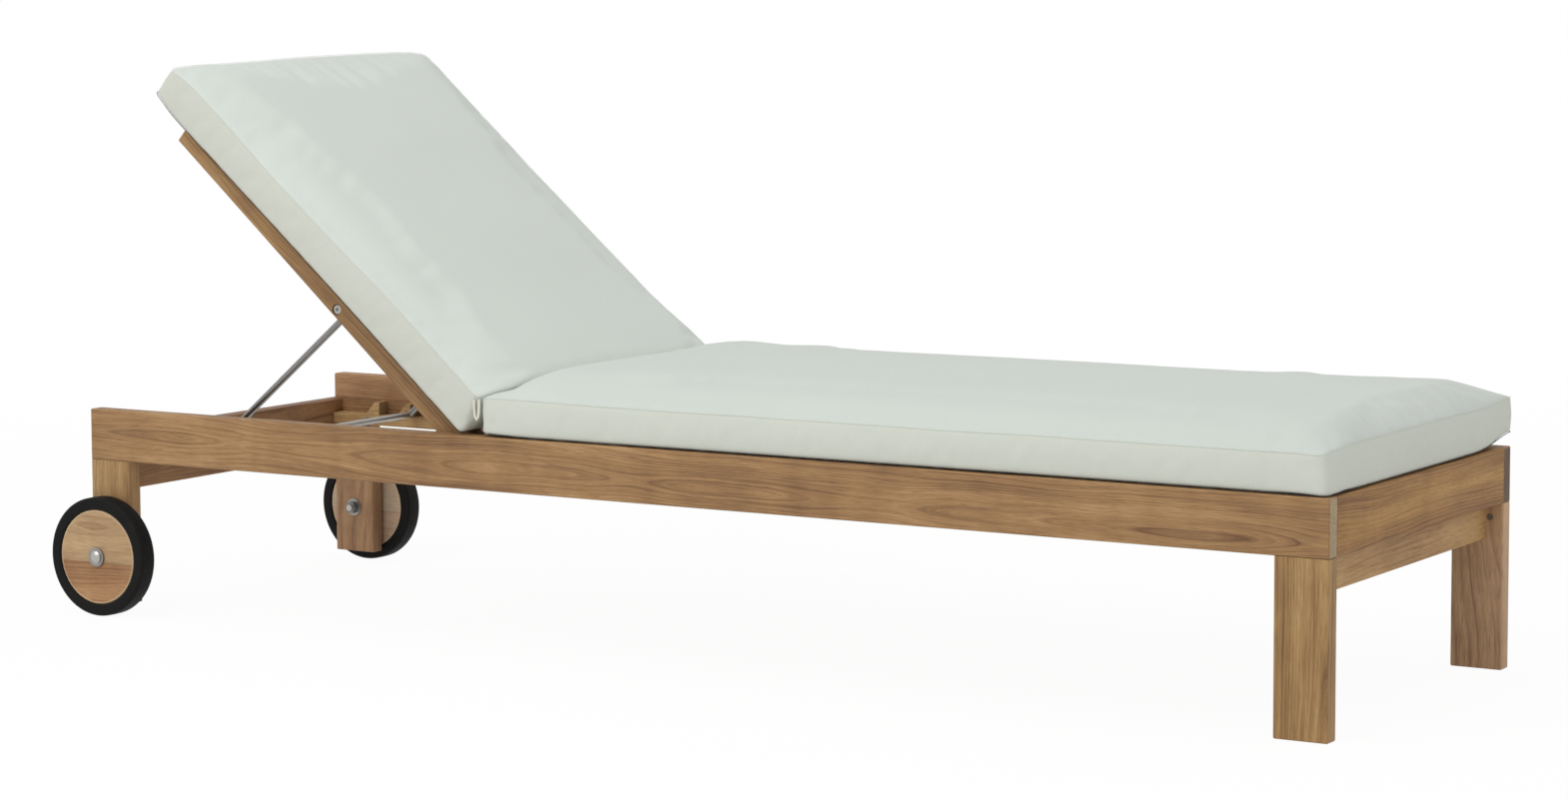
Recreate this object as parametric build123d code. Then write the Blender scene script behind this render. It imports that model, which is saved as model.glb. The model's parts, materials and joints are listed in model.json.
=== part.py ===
"""Teak chaise lounger with a reclining back, a prop bail, two wheels and two boxed cushions.

Millimetres. +X runs to the foot end, +Y to the sitter's left, +Z up. The origin is on the
floor, under the middle of the overall box. Right-hand pieces lie on the -Y side.
"""
from build123d import *
import math
import os

os.makedirs("parts", exist_ok=True)

# Boards of the frame
rail_length = 2000
rail_height = 76
board_thickness = 25
frame_width = 615
leg_height = 230
leg_width = 74
head_leg_floor_gap = 17
stretcher_height = 88
edge_ease = 1.5

# Ledgers, which carry the back when it lies flat and the slats of the seat
ledger_thickness = 12
seat_ledger_thickness = 22
seat_ledger_height = 38
seat_ledger_start_gap = 30
ledger_gap = 5

# Backrest, measured along the stile from the hinge
recline_angle = 41
hinge_from_head = 670
stile_depth = 38
stile_width = 35
stile_reach = 664
stile_gap = 2
stile_edge_ease = 2
top_rail_width = 44
bottom_rail_width = 40
bottom_rail_from_hinge = 30
back_slat_count = 7
back_slat_gap = 11
back_slat_thickness = 16
housing_depth = 10
slat_edge_chamfer = 1.5

# Seat slats
seat_slat_count = 12
seat_slat_gap = 15
seat_slat_thickness = 18
seat_slat_end_gap = 1
first_slat_from_hinge = 33
last_slat_gap = 5

# Toothed rack inside each side rail
rack_thickness = 22
rack_floor_height = 17
notch_count = 4
notch_pitch = 62
first_face_from_head = 116.7
notch_floor_length = 35
tooth_crest = 9
tooth_undercut = 1
rack_tail = 6

# Prop bail
rod_diameter = 10
prop_pivot_along = 290
prop_pivot_from_edge = 11
eye_diameter = 16
eye_width = 10
rod_end_chamfer = 1

# Hinge bolts
hinge_bolt_diameter = 10
hinge_bolt_in_rail = 16
hinge_bush_diameter = 14
hinge_head_diameter = 20
hinge_head_height = 5
hinge_washer_diameter = 24
hinge_rail_washer = 1.4
hinge_head_washer = 1.5

# Prop pivot bolts
prop_bolt_diameter = 8
prop_head_diameter = 13
prop_counterbore_diameter = 16
prop_head_height = 5
prop_socket_width = 5
prop_socket_depth = 3
prop_head_recess = 2
prop_washer_diameter = 18
prop_washer_thickness = 1.5
prop_nut_width = 13
prop_nut_height = 6.5
prop_bolt_end = 1.5

# Wheels
tyre_diameter = 178
tyre_width = 30
tyre_shoulder = 5
disc_diameter = 142
disc_thickness = 26
disc_edge_ease = 1.5
axle_from_head = 37
wheel_gap = 5
wheel_bush_diameter = 16
wheel_bush_proud = 1
axle_diameter = 10
axle_head_diameter = 19
axle_head_height = 6
dome_flank_share = 0.35
axle_washer_diameter = 28
axle_washer_thickness = 2
axle_spacer_diameter = 22
axle_nut_width = 17
axle_nut_height = 8
axle_end = 4

# Joinery
stud_diameter = 6
stud_in_rail = 50
stud_in_leg = 23
stud_from_end = 19
stud_from_head = 31
barrel_diameter = 9
barrel_length = 20
barrel_below_rail = 20
tenon_thickness = 8
tenon_length = 9
tenon_shoulder = 12

# Cushions
cushion_swell = 3
cushion_crown_reach = 70
cushion_corner = 14
cushion_side_inset = 1
cushion_heel_round = 18
seat_cushion_band = 54
seat_cushion_thickness = 90
back_cushion_band = 62
back_cushion_thickness = 86
back_cushion_bow = 15
back_cushion_clearance = 4
upright_angle = 58
cushion_foot_inset = 2
seat_cushion_from_hinge = 49
back_cushion_start = 4
back_cushion_past_stile = 60

# Clearances
rest_clearance = 0.4
running_clearance = 0.05
side_clearance = 0.3
joint_clearance = 0.1
bolt_hole_clearance = 0.25
prop_end_clearance = 0.5
cut_overrun = 1

# Heights and places worked out from the sizes above
tyre_radius = tyre_diameter / 2
wheel_overhang = tyre_radius - axle_from_head
head_x = (wheel_overhang - rail_length) / 2
foot_x = head_x + rail_length
rail_outer = frame_width / 2
rail_inner = rail_outer - board_thickness
rail_bottom = leg_height
rail_top = rail_bottom + rail_height

hinge_x = head_x + hinge_from_head
stile_bottom = rail_top - stile_depth
hinge_z = stile_bottom + stile_depth / 2
ledger_top = stile_bottom - rest_clearance
stretcher_bottom = ledger_top - stretcher_height
seat_ledger_top = rail_top - seat_slat_thickness
seat_ledger_x = hinge_x + seat_ledger_start_gap
foot_stretcher_x = foot_x - 2 * board_thickness

stile_outer = rail_inner - stile_gap
stile_inner = stile_outer - stile_width
stile_end_x = hinge_x - stile_reach
prop_x = hinge_x - prop_pivot_along
prop_z = stile_bottom + prop_pivot_from_edge

rack_outer = rail_inner - ledger_thickness
rack_inner = rack_outer - rack_thickness
rack_floor = rail_bottom + rack_floor_height

axle_x = head_x + axle_from_head
axle_z = tyre_radius
wheel_y = rail_outer + wheel_gap + tyre_width / 2
axle_head_y = wheel_y + disc_thickness / 2 + wheel_bush_proud + side_clearance + axle_washer_thickness

eye_outer = stile_inner - prop_washer_thickness - side_clearance
eye_inner = eye_outer - eye_width
eye_middle = (eye_outer + eye_inner) / 2
notch_faces = [head_x + first_face_from_head + notch * notch_pitch for notch in range(notch_count)]
crossbar_x = notch_faces[1] + rod_diameter / 2 + side_clearance
crossbar_z = rack_floor + rod_diameter / 2 + side_clearance
crossbar_half = rack_inner - prop_end_clearance

seat_cushion_x = hinge_x + seat_cushion_from_hinge
cushion_bottom = rail_top + rest_clearance
cushion_half = frame_width / 2 - cushion_side_inset


def block(x, y, z):
    """Plain box between the low and high value of each axis."""
    size = Box(x[1] - x[0], y[1] - y[0], z[1] - z[0], align=(Align.MIN, Align.MIN, Align.MIN))
    return Pos(x[0], y[0], z[0]) * size


def board(x, y, z, ease):
    """Sawn board with a small flat on every edge."""
    plain = block(x, y, z)
    return chamfer(plain.edges(), ease)


def slat(x, y, z, ease):
    """Board with a small flat on the long edges of its upper face."""
    plain = block(x, y, z)
    top_edges = plain.faces().sort_by(Axis.Z)[-1].edges().filter_by(Axis.Y)
    return chamfer(top_edges, ease)


def rod_y(x, z, y, radius):
    """Round bar along Y."""
    bar = Cylinder(radius, y[1] - y[0], align=(Align.CENTER, Align.CENTER, Align.MIN))
    return Pos(x, y[0], z) * Rot(-90, 0, 0) * bar


def ring_y(x, z, y, radius, bore):
    """Round bar along Y with a hole through it."""
    hole = (y[0] - cut_overrun, y[1] + cut_overrun)
    return rod_y(x, z, y, radius) - rod_y(x, z, hole, bore)


def rod_z(x, y, z, radius):
    """Round bar along Z."""
    bar = Cylinder(radius, z[1] - z[0], align=(Align.CENTER, Align.CENTER, Align.MIN))
    return Pos(x, y, z[0]) * bar


def hex_y(x, z, y, width):
    """Hexagonal bar along Y, with its width across flats."""
    flats = RegularPolygon(width / 2, 6, major_radius=False)
    return Pos(x, y[0], z) * Rot(-90, 0, 0) * extrude(flats, y[1] - y[0])


def nut_y(x, z, y, width, bore):
    """Hexagonal nut along Y."""
    return hex_y(x, z, y, width) - rod_y(x, z, grown(y, cut_overrun), bore)


def domed_head(x, z, seat, radius, height):
    """Low domed bolt head that sits on y = seat, with its crown further along Y."""
    flank_height = height * dome_flank_share
    flank = Line((radius, 0), (radius, flank_height))
    crown = TangentArc((0, height), (radius, flank_height), tangent=(1, 0))
    outline = [flank, crown, Line((0, height), (0, 0)), Line((0, 0), (radius, 0))]
    return Pos(x, seat, z) * revolve(make_face(outline), Axis.Y)


def to_right(piece):
    """The same piece on the sitter's right."""
    return mirror(piece, about=Plane.XZ)


def pairs(pieces):
    """Each left-hand piece together with its right-hand twin."""
    return list(pieces) + [to_right(piece) for piece in pieces]


def reclined(piece):
    """Turn a piece of the back from lying flat up to the angle of the photograph."""
    hinge = Pos(hinge_x, 0, hinge_z)
    return hinge * Rot(0, recline_angle, 0) * Pos(-hinge_x, 0, -hinge_z) * piece


def spread(low, high, count):
    """Evenly spaced places from low to high, both included."""
    return [low + (high - low) * step / (count - 1) for step in range(count)]


def low_edges(low, high, width, count):
    """Low edges of count boards of one width that fill the length from low to high."""
    return spread(low, high - width, count)


def around(middle, width):
    """Low and high value of a width about its middle."""
    return (middle - width / 2, middle + width / 2)


def grown(span, gap):
    """A span with a gap added at both ends."""
    return (span[0] - gap, span[1] + gap)


# Fasteners that join the boards of the frame
def stud_places():
    """(x, y) of the studs on the left, two in each leg."""
    y = rail_outer - board_thickness / 2
    head_leg = [head_x + stud_from_head, head_x + leg_width - stud_from_end]
    foot_leg = [foot_x - leg_width + stud_from_end, foot_x - stud_from_end]
    return [(x, y) for x in head_leg + foot_leg]


def studs(clearance):
    """Threaded studs from the legs up into the rail."""
    span = (rail_bottom - stud_in_leg - clearance, rail_bottom + stud_in_rail + clearance)
    return [rod_z(x, y, span, stud_diameter / 2 + clearance) for x, y in stud_places()]


def barrel_nuts(clearance):
    """Barrel nuts let into the inner face of the legs, across the studs."""
    z = rail_bottom - barrel_below_rail
    span = (rail_inner, rail_inner + barrel_length + clearance)
    radius = barrel_diameter / 2 + clearance
    return [rod_y(x, z, span, radius) for x, y in stud_places()]


def cross_board_spans():
    """(x, z) spans of the foot end rail, the foot stretcher and the head board."""
    rail_z = (rail_bottom, rail_top)
    low_z = (stretcher_bottom, ledger_top)
    end_rail = ((foot_x - board_thickness, foot_x), rail_z)
    stretcher = ((foot_stretcher_x, foot_stretcher_x + board_thickness), low_z)
    head_board = ((head_x, head_x + board_thickness), low_z)
    return [end_rail, stretcher, head_board]


def tenons(x, z, clearance):
    """Both stub tenons of a cross board, as one bar across the frame."""
    reach = rail_inner + tenon_length + clearance
    thickness = around((x[0] + x[1]) / 2, tenon_thickness)
    height = (z[0] + tenon_shoulder, z[1] - tenon_shoulder)
    return block(grown(thickness, clearance), (-reach, reach), grown(height, clearance))


def mortises():
    """Cutters for the ends of all the tenons."""
    return [tenons(x, z, joint_clearance) for x, z in cross_board_spans()]


# Boards of the frame
def side_rail():
    rail = board((head_x, foot_x), (rail_inner, rail_outer), (rail_bottom, rail_top), edge_ease)
    rail -= studs(joint_clearance) + mortises()
    blind = (rail_inner - cut_overrun, rail_inner + hinge_bolt_in_rail + joint_clearance)
    return rail - rod_y(hinge_x, hinge_z, blind, hinge_bolt_diameter / 2 + joint_clearance)


def leg(x, floor):
    """Leg board under the rail, square at its top, bored for its studs, nuts and tenon."""
    post = block(x, (rail_inner, rail_outer), (floor, rail_bottom))
    free_edges = post.edges().filter_by(Axis.Z) + post.faces().sort_by(Axis.Z)[0].edges()
    post = chamfer(free_edges, edge_ease)
    return post - (studs(joint_clearance) + barrel_nuts(joint_clearance) + mortises())


def head_leg():
    post = leg((head_x, head_x + leg_width), head_leg_floor_gap)
    bore = (rail_inner - cut_overrun, rail_outer + cut_overrun)
    return post - rod_y(axle_x, axle_z, bore, axle_diameter / 2 + bolt_hole_clearance)


def foot_leg():
    return leg((foot_x - leg_width, foot_x), 0)


def cross_board(x, z):
    """Board across the frame, with a stub tenon at each end."""
    plank = block(x, (-rail_inner, rail_inner), z)
    return chamfer(plank.edges().filter_by(Axis.Y), edge_ease) + tenons(x, z, 0)


def back_ledger():
    x = (head_x + board_thickness, seat_ledger_x - ledger_gap)
    return block(x, (rail_inner - ledger_thickness, rail_inner), (rail_bottom, ledger_top))


def seat_ledger():
    y = (rail_inner - seat_ledger_thickness, rail_inner)
    z = (seat_ledger_top - seat_ledger_height, seat_ledger_top)
    return block((seat_ledger_x, foot_stretcher_x), y, z)


def rack():
    """Toothed batten: a parking flat, then hooked teeth with a flat seat behind each."""
    start = head_x + board_thickness
    ramp = notch_pitch - notch_floor_length - tooth_crest
    outline = [(start, rail_bottom), (start, rack_floor)]
    for face in notch_faces:
        outline += [
            (face - tooth_crest - ramp, rack_floor),
            (face - tooth_crest, ledger_top),
            (face, ledger_top),
            (face - tooth_undercut, rack_floor),
        ]
    tail_start = notch_faces[-1] + notch_pitch - tooth_crest
    outline += [(tail_start - ramp, rack_floor), (tail_start, ledger_top)]
    outline += [(tail_start + rack_tail, ledger_top), (tail_start + rack_tail, rail_bottom)]
    side = make_face(Polyline(*outline, close=True))
    batten = extrude(Plane.XZ * side, rack_thickness, dir=(0, 1, 0))
    return Pos(0, rack_inner, 0) * batten


def seat_slats():
    low = hinge_x + first_slat_from_hinge
    high = foot_x - board_thickness - last_slat_gap
    y = (-rail_inner + seat_slat_end_gap, rail_inner - seat_slat_end_gap)
    width = (high - low + seat_slat_gap) / seat_slat_count - seat_slat_gap
    z = (seat_ledger_top, rail_top)
    places = low_edges(low, high, width, seat_slat_count)
    return [slat((x, x + width), y, z, slat_edge_chamfer) for x in places]


# Backrest, modelled lying flat
def back_slat_spans():
    low = stile_end_x + top_rail_width + back_slat_gap
    high = hinge_x - bottom_rail_from_hinge - bottom_rail_width - back_slat_gap
    width = (high - low + back_slat_gap) / back_slat_count - back_slat_gap
    return [(x, x + width) for x in low_edges(low, high, width, back_slat_count)]


def cross_rail_spans():
    top = (stile_end_x, stile_end_x + top_rail_width)
    bottom_high = hinge_x - bottom_rail_from_hinge
    return top, (bottom_high - bottom_rail_width, bottom_high)


def stile():
    """Side of the back, round at the hinge, housed for the slats and cross rails."""
    radius = stile_depth / 2
    y = (stile_inner, stile_outer)
    bar = block((stile_end_x, hinge_x), y, (stile_bottom, rail_top))
    bar += rod_y(hinge_x, hinge_z, y, radius)
    bar = chamfer(bar.edges().filter_by(Axis.X), stile_edge_ease)
    housing = (stile_inner - cut_overrun, stile_inner + housing_depth + joint_clearance)
    slat_z = (rail_top - back_slat_thickness - joint_clearance, rail_top + cut_overrun)
    rail_z = (stile_bottom - cut_overrun, rail_top + cut_overrun)
    for span in back_slat_spans():
        bar -= block(grown(span, joint_clearance), housing, slat_z)
    for span in cross_rail_spans():
        bar -= block(grown(span, joint_clearance), housing, rail_z)
    through = grown(y, cut_overrun)
    bar -= rod_y(hinge_x, hinge_z, through, hinge_bush_diameter / 2 + joint_clearance)
    bar -= rod_y(prop_x, prop_z, through, prop_bolt_diameter / 2 + bolt_hole_clearance)
    socket = (stile_outer - prop_head_recess - prop_head_height, stile_outer + cut_overrun)
    return bar - rod_y(prop_x, prop_z, socket, prop_counterbore_diameter / 2)


def back_slats():
    y_end = stile_inner + housing_depth
    z = (rail_top - back_slat_thickness, rail_top)
    return [slat(span, (-y_end, y_end), z, slat_edge_chamfer) for span in back_slat_spans()]


def back_cross_rail(span):
    y_end = stile_inner + housing_depth
    return board(span, (-y_end, y_end), (stile_bottom, rail_top), stile_edge_ease)


def hinge_bolt():
    seat = stile_inner - side_clearance - hinge_head_washer
    shank = rod_y(hinge_x, hinge_z, (seat, rail_inner + hinge_bolt_in_rail), hinge_bolt_diameter / 2)
    head = to_right(domed_head(hinge_x, hinge_z, -seat, hinge_head_diameter / 2, hinge_head_height))
    return shank + head


def hinge_washers():
    bore = hinge_bolt_diameter / 2 + joint_clearance
    radius = hinge_washer_diameter / 2
    at_rail = (rail_inner - hinge_rail_washer, rail_inner)
    seat = stile_inner - side_clearance
    at_head = (seat - hinge_head_washer, seat)
    return [ring_y(hinge_x, hinge_z, span, radius, bore) for span in (at_rail, at_head)]


def hinge_bush():
    bore = hinge_bolt_diameter / 2 + running_clearance
    return ring_y(hinge_x, hinge_z, (stile_inner, stile_outer), hinge_bush_diameter / 2, bore)


def prop_bolt():
    """Socket head bolt, sunk in the outer face of the stile."""
    head_inner = stile_outer - prop_head_recess - prop_head_height
    head = (head_inner, head_inner + prop_head_height)
    end = prop_nut_span()[0] - prop_bolt_end
    bolt = rod_y(prop_x, prop_z, (end, head_inner), prop_bolt_diameter / 2)
    bolt += rod_y(prop_x, prop_z, head, prop_head_diameter / 2)
    key = (head[1] - prop_socket_depth, head[1] + cut_overrun)
    return bolt - hex_y(prop_x, prop_z, key, prop_socket_width)


def prop_washer_spans():
    outer = (stile_inner - prop_washer_thickness, stile_inner)
    seat = eye_inner - side_clearance
    return outer, (seat - prop_washer_thickness, seat)


def prop_nut_span():
    seat = prop_washer_spans()[1][0]
    return (seat - prop_nut_height, seat)


def prop_nuts_and_washers():
    bore = prop_bolt_diameter / 2 + joint_clearance
    radius = prop_washer_diameter / 2
    washers = [ring_y(prop_x, prop_z, span, radius, bore) for span in prop_washer_spans()]
    return washers + [nut_y(prop_x, prop_z, prop_nut_span(), prop_nut_width, bore)]


# Bail, modelled where it stands in the photograph
def prop_pivot():
    """(x, z) of the bail's pivot once the back is raised."""
    angle = math.radians(recline_angle)
    x = prop_x - hinge_x
    z = prop_z - hinge_z
    turned_x = x * math.cos(angle) + z * math.sin(angle)
    turned_z = z * math.cos(angle) - x * math.sin(angle)
    return hinge_x + turned_x, hinge_z + turned_z


def prop_crossbar():
    bar = rod_y(crossbar_x, crossbar_z, (-crossbar_half, crossbar_half), rod_diameter / 2)
    ends = bar.edges().filter_by(GeomType.CIRCLE)
    return chamfer(ends, rod_end_chamfer)


def prop_arm():
    """Round arm with a forged eye at its pivot, coped and welded on the crossbar."""
    pivot_x, pivot_z = prop_pivot()
    start = Vector(crossbar_x, eye_middle, crossbar_z)
    reach = Vector(pivot_x, eye_middle, pivot_z) - start
    plane = Plane(origin=start, z_dir=reach)
    arm = extrude(plane * Circle(rod_diameter / 2), reach.length)
    span = (eye_inner, eye_outer)
    arm += rod_y(pivot_x, pivot_z, span, eye_diameter / 2)
    arm -= rod_y(crossbar_x, crossbar_z, grown(span, cut_overrun), rod_diameter / 2)
    bore = prop_bolt_diameter / 2 + running_clearance
    return arm - rod_y(pivot_x, pivot_z, grown(span, cut_overrun), bore)


# Wheel, from its inner face outwards
def wheel_disc():
    """Wooden disc, pressed into its tyre and bored for the bush."""
    disc = rod_y(0, 0, around(0, disc_thickness), disc_diameter / 2 - joint_clearance)
    disc = chamfer(disc.edges().filter_by(GeomType.CIRCLE), disc_edge_ease)
    bore = around(0, disc_thickness + 2 * cut_overrun)
    return Pos(axle_x, wheel_y, axle_z) * (disc - rod_y(0, 0, bore, wheel_bush_diameter / 2))


def tyre():
    """Solid rubber band with sloping shoulders."""
    band = rod_y(0, 0, around(0, tyre_width), tyre_radius)
    band = chamfer(band.edges().filter_by(GeomType.CIRCLE), tyre_shoulder)
    bore = around(0, tyre_width + 2 * cut_overrun)
    return Pos(axle_x, wheel_y, axle_z) * (band - rod_y(0, 0, bore, disc_diameter / 2))


def hub_bush_span():
    return around(wheel_y, disc_thickness + 2 * wheel_bush_proud)


def hub_bush():
    bore = axle_diameter / 2 + running_clearance
    return ring_y(axle_x, axle_z, hub_bush_span(), wheel_bush_diameter / 2, bore)


def axle_washers():
    """Spacer by the leg, and the washers under the bolt head and under the nut."""
    bore = axle_diameter / 2 + joint_clearance
    bush = hub_bush_span()
    spacer = (rail_outer, bush[0] - side_clearance)
    washer_radius = axle_washer_diameter / 2
    under_head = (axle_head_y - axle_washer_thickness, axle_head_y)
    under_nut = (rail_inner - axle_washer_thickness, rail_inner)
    pieces = [ring_y(axle_x, axle_z, spacer, axle_spacer_diameter / 2, bore)]
    return pieces + [ring_y(axle_x, axle_z, span, washer_radius, bore) for span in (under_head, under_nut)]


def axle_nut_span():
    seat = rail_inner - axle_washer_thickness
    return (seat - axle_nut_height, seat)


def axle_bolt():
    end = axle_nut_span()[0] - axle_end
    shank = rod_y(axle_x, axle_z, (end, axle_head_y), axle_diameter / 2)
    return shank + domed_head(axle_x, axle_z, axle_head_y, axle_head_diameter / 2, axle_head_height)


def axle_nut():
    return nut_y(axle_x, axle_z, axle_nut_span(), axle_nut_width, axle_diameter / 2 + joint_clearance)


# Cushions: a side outline and a cross outline, each with its crown, and the outline in plan
def swollen_side(edge, inward, bottom, band):
    """Boxing band, swollen outward between its two seams."""
    seam = edge + inward * cushion_swell
    return ThreePointArc((seam, bottom), (edge, bottom + band / 2), (seam, bottom + band))


def crown_arc(seam, inward, welt, top):
    """Crown that rises from the seam and runs level into the top."""
    start = (seam + inward * cushion_crown_reach, top)
    return TangentArc(start, (seam, welt), tangent=(-inward, 0))


def pad_outline(low, high, bottom, band, thickness):
    """Cross outline of a boxed pad: flat below, swollen sides, crowned above."""
    welt = bottom + band
    top = bottom + thickness
    low_seam = low + cushion_swell
    high_seam = high - cushion_swell
    sides = [swollen_side(low, 1, bottom, band), swollen_side(high, -1, bottom, band)]
    crown = [crown_arc(low_seam, 1, welt, top), crown_arc(high_seam, -1, welt, top)]
    flats = [Line((low_seam, bottom), (high_seam, bottom))]
    flats.append(Line((low_seam + cushion_crown_reach, top), (high_seam - cushion_crown_reach, top)))
    return make_face(sides + crown + flats)


def heel_outline(low, high, bottom, band, thickness):
    """Side outline of the back pad, whose lower end clears the rails and the seat pad."""
    welt = bottom + band
    top = bottom + thickness
    heel = high - cushion_heel_round
    clear = hinge_x + seat_cushion_from_hinge - back_cushion_clearance
    slope = math.tan(math.radians(upright_angle))
    rise = (clear - hinge_x) / math.sin(math.radians(upright_angle))
    bevel_low = hinge_z + rise - (high - hinge_x) / slope
    bevel_x = hinge_x - (welt - hinge_z - rise) * slope
    seam = low + cushion_swell
    side = [swollen_side(low, 1, bottom, band), crown_arc(seam, 1, welt, top)]
    side.append(Line((seam + cushion_crown_reach, top), (bevel_x - cushion_crown_reach, top)))
    side.append(crown_arc(bevel_x, -1, welt, top))
    side.append(Line((bevel_x, welt), (high, bevel_low)))
    side.append(Line((high, bevel_low), (high, bottom + cushion_heel_round)))
    side.append(TangentArc((high, bottom + cushion_heel_round), (heel, bottom), tangent=(0, -1)))
    side.append(Line((heel, bottom), (seam, bottom)))
    return make_face(side)


def pad(side, plan, bottom, band, thickness):
    """Pad that fills its side outline, its cross outline and its outline in plan together."""
    along = extrude(Plane.XZ * side, cushion_half, both=True)
    cross = Plane.YZ * pad_outline(-cushion_half, cushion_half, bottom, band, thickness)
    across = extrude(cross, rail_length, both=True)
    upright = Pos(0, 0, bottom) * extrude(plan, thickness, dir=(0, 0, 1))
    return along & across & upright


def seat_cushion():
    low = seat_cushion_x
    high = foot_x - cushion_foot_inset
    bottom = cushion_bottom
    side = pad_outline(low, high, bottom, seat_cushion_band, seat_cushion_thickness)
    plan = Pos((low + high) / 2, 0) * RectangleRounded(high - low, 2 * cushion_half, cushion_corner)
    return pad(side, plan, bottom, seat_cushion_band, seat_cushion_thickness)


def back_cushion():
    """Back pad, lying flat: its head end is bowed in plan."""
    high = hinge_x - back_cushion_start
    corner = stile_end_x - back_cushion_past_stile
    low = corner - back_cushion_bow
    side = heel_outline(low, high, cushion_bottom, back_cushion_band, back_cushion_thickness)
    wide = cushion_half + cut_overrun
    end = high + cut_overrun
    bow = ThreePointArc((corner, -wide), (low - cut_overrun, 0), (corner, wide))
    edges = Polyline((corner, wide), (end, wide), (end, -wide), (corner, -wide))
    plan = make_face([bow, edges])
    plan = fillet(plan.vertices(), cushion_corner)
    return pad(side, plan, cushion_bottom, back_cushion_band, back_cushion_thickness)


def build_nodes():
    """Every sub-part by name, each a list of solids."""
    nodes = {}

    def add_pair(name, piece):
        nodes[name + "_left"] = [piece]
        nodes[name + "_right"] = [to_right(piece)]

    add_pair("side_rail", side_rail())
    add_pair("head_leg", head_leg())
    add_pair("foot_leg", foot_leg())
    add_pair("back_ledger", back_ledger())
    add_pair("seat_ledger", seat_ledger())
    add_pair("rack", rack())
    cross_boards = [cross_board(x, z) for x, z in cross_board_spans()]
    for name, piece in zip(("foot_end_rail", "foot_stretcher", "head_cross_board"), cross_boards):
        nodes[name] = [piece]
    for number, piece in enumerate(seat_slats(), 1):
        nodes[f"seat_slat_{number:02d}"] = [piece]
    stud_bores = studs(joint_clearance)
    nodes["leg_studs"] = pairs(studs(0))
    nodes["leg_barrel_nuts"] = pairs([nut - stud_bores for nut in barrel_nuts(0)])
    nodes["hinge_bolts"] = pairs([hinge_bolt()])
    nodes["hinge_washers"] = pairs(hinge_washers())

    add_pair("back_stile", reclined(stile()))
    top_span, bottom_span = cross_rail_spans()
    nodes["back_top_rail"] = [reclined(back_cross_rail(top_span))]
    nodes["back_bottom_rail"] = [reclined(back_cross_rail(bottom_span))]
    for number, piece in enumerate(back_slats(), 1):
        nodes[f"back_slat_{number}"] = [reclined(piece)]
    nodes["hinge_bushes"] = pairs([reclined(hinge_bush())])
    nodes["prop_bolts"] = pairs([reclined(prop_bolt())])
    nodes["prop_nuts"] = pairs([reclined(piece) for piece in prop_nuts_and_washers()])

    nodes["prop_crossbar"] = [prop_crossbar()]
    add_pair("prop_arm", prop_arm())

    add_pair("wheel_disc", wheel_disc())
    add_pair("tyre", tyre())
    add_pair("hub_bush", hub_bush())
    nodes["axle_bolts"] = pairs([axle_bolt()])
    nodes["axle_washers"] = pairs(axle_washers())
    nodes["axle_nuts"] = pairs([axle_nut()])

    nodes["seat_cushion"] = [seat_cushion()]
    nodes["back_cushion"] = [reclined(back_cushion())]
    return nodes


for name, pieces in build_nodes().items():
    solids = [solid for piece in pieces for solid in piece.solids()]
    shape = solids[0] if len(solids) == 1 else Compound(solids)
    export_step(shape, f"parts/{name}.step")
    print(name, len(solids))
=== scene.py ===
import json
import math

import bmesh
import bpy
import numpy as np
from bpy.props import FloatProperty, FloatVectorProperty, IntProperty, PointerProperty
from mathutils import Matrix, Vector, noise


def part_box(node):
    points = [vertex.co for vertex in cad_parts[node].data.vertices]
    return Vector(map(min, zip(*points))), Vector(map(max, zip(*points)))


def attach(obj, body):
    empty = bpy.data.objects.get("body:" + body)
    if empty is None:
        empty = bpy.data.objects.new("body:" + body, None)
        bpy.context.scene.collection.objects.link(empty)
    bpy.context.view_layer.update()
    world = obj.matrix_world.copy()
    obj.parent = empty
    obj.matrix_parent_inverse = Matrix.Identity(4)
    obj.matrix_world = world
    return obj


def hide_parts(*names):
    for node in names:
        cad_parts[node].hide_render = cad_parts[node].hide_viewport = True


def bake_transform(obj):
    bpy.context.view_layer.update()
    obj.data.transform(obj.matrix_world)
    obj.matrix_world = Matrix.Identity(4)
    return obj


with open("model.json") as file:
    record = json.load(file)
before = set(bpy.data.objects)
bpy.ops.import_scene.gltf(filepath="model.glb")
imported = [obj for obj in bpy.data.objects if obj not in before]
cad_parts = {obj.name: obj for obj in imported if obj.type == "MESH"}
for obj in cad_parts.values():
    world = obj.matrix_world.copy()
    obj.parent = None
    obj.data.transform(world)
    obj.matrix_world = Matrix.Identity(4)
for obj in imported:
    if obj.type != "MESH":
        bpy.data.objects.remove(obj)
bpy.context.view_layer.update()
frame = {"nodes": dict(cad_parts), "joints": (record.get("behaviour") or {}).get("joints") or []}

bl_info = {
    "name": "Teak Chaise Lounger",
    "version": (1, 0, 0),
    "blender": (4, 5, 0),
    "location": "View3D > Sidebar > Chaise",
    "description": "Dresses a teak chaise lounger: oiled teak, stainless prop and two boxed pads",
    "category": "Object",
}

MM = 0.001


def joint_place(name):
    """Where a joint of the frame lies."""
    for joint in frame["joints"]:
        if joint["name"] == name:
            return Vector(joint["pos_m"])
    raise KeyError(name)


HINGE = joint_place("backrest_recline")
RECLINE = math.radians(41.0)
RAIL_LOW, RAIL_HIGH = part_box("side_rail_right")
HALF_WIDTH = max(abs(RAIL_LOW.y), abs(RAIL_HIGH.y))
RAIL_TOP = RAIL_HIGH.z
SLAT_NAMES = sorted(name for name in frame["nodes"] if name.startswith("seat_slat"))
BACK_SLAT_NAMES = sorted(name for name in frame["nodes"] if name.startswith("back_slat"))

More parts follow.
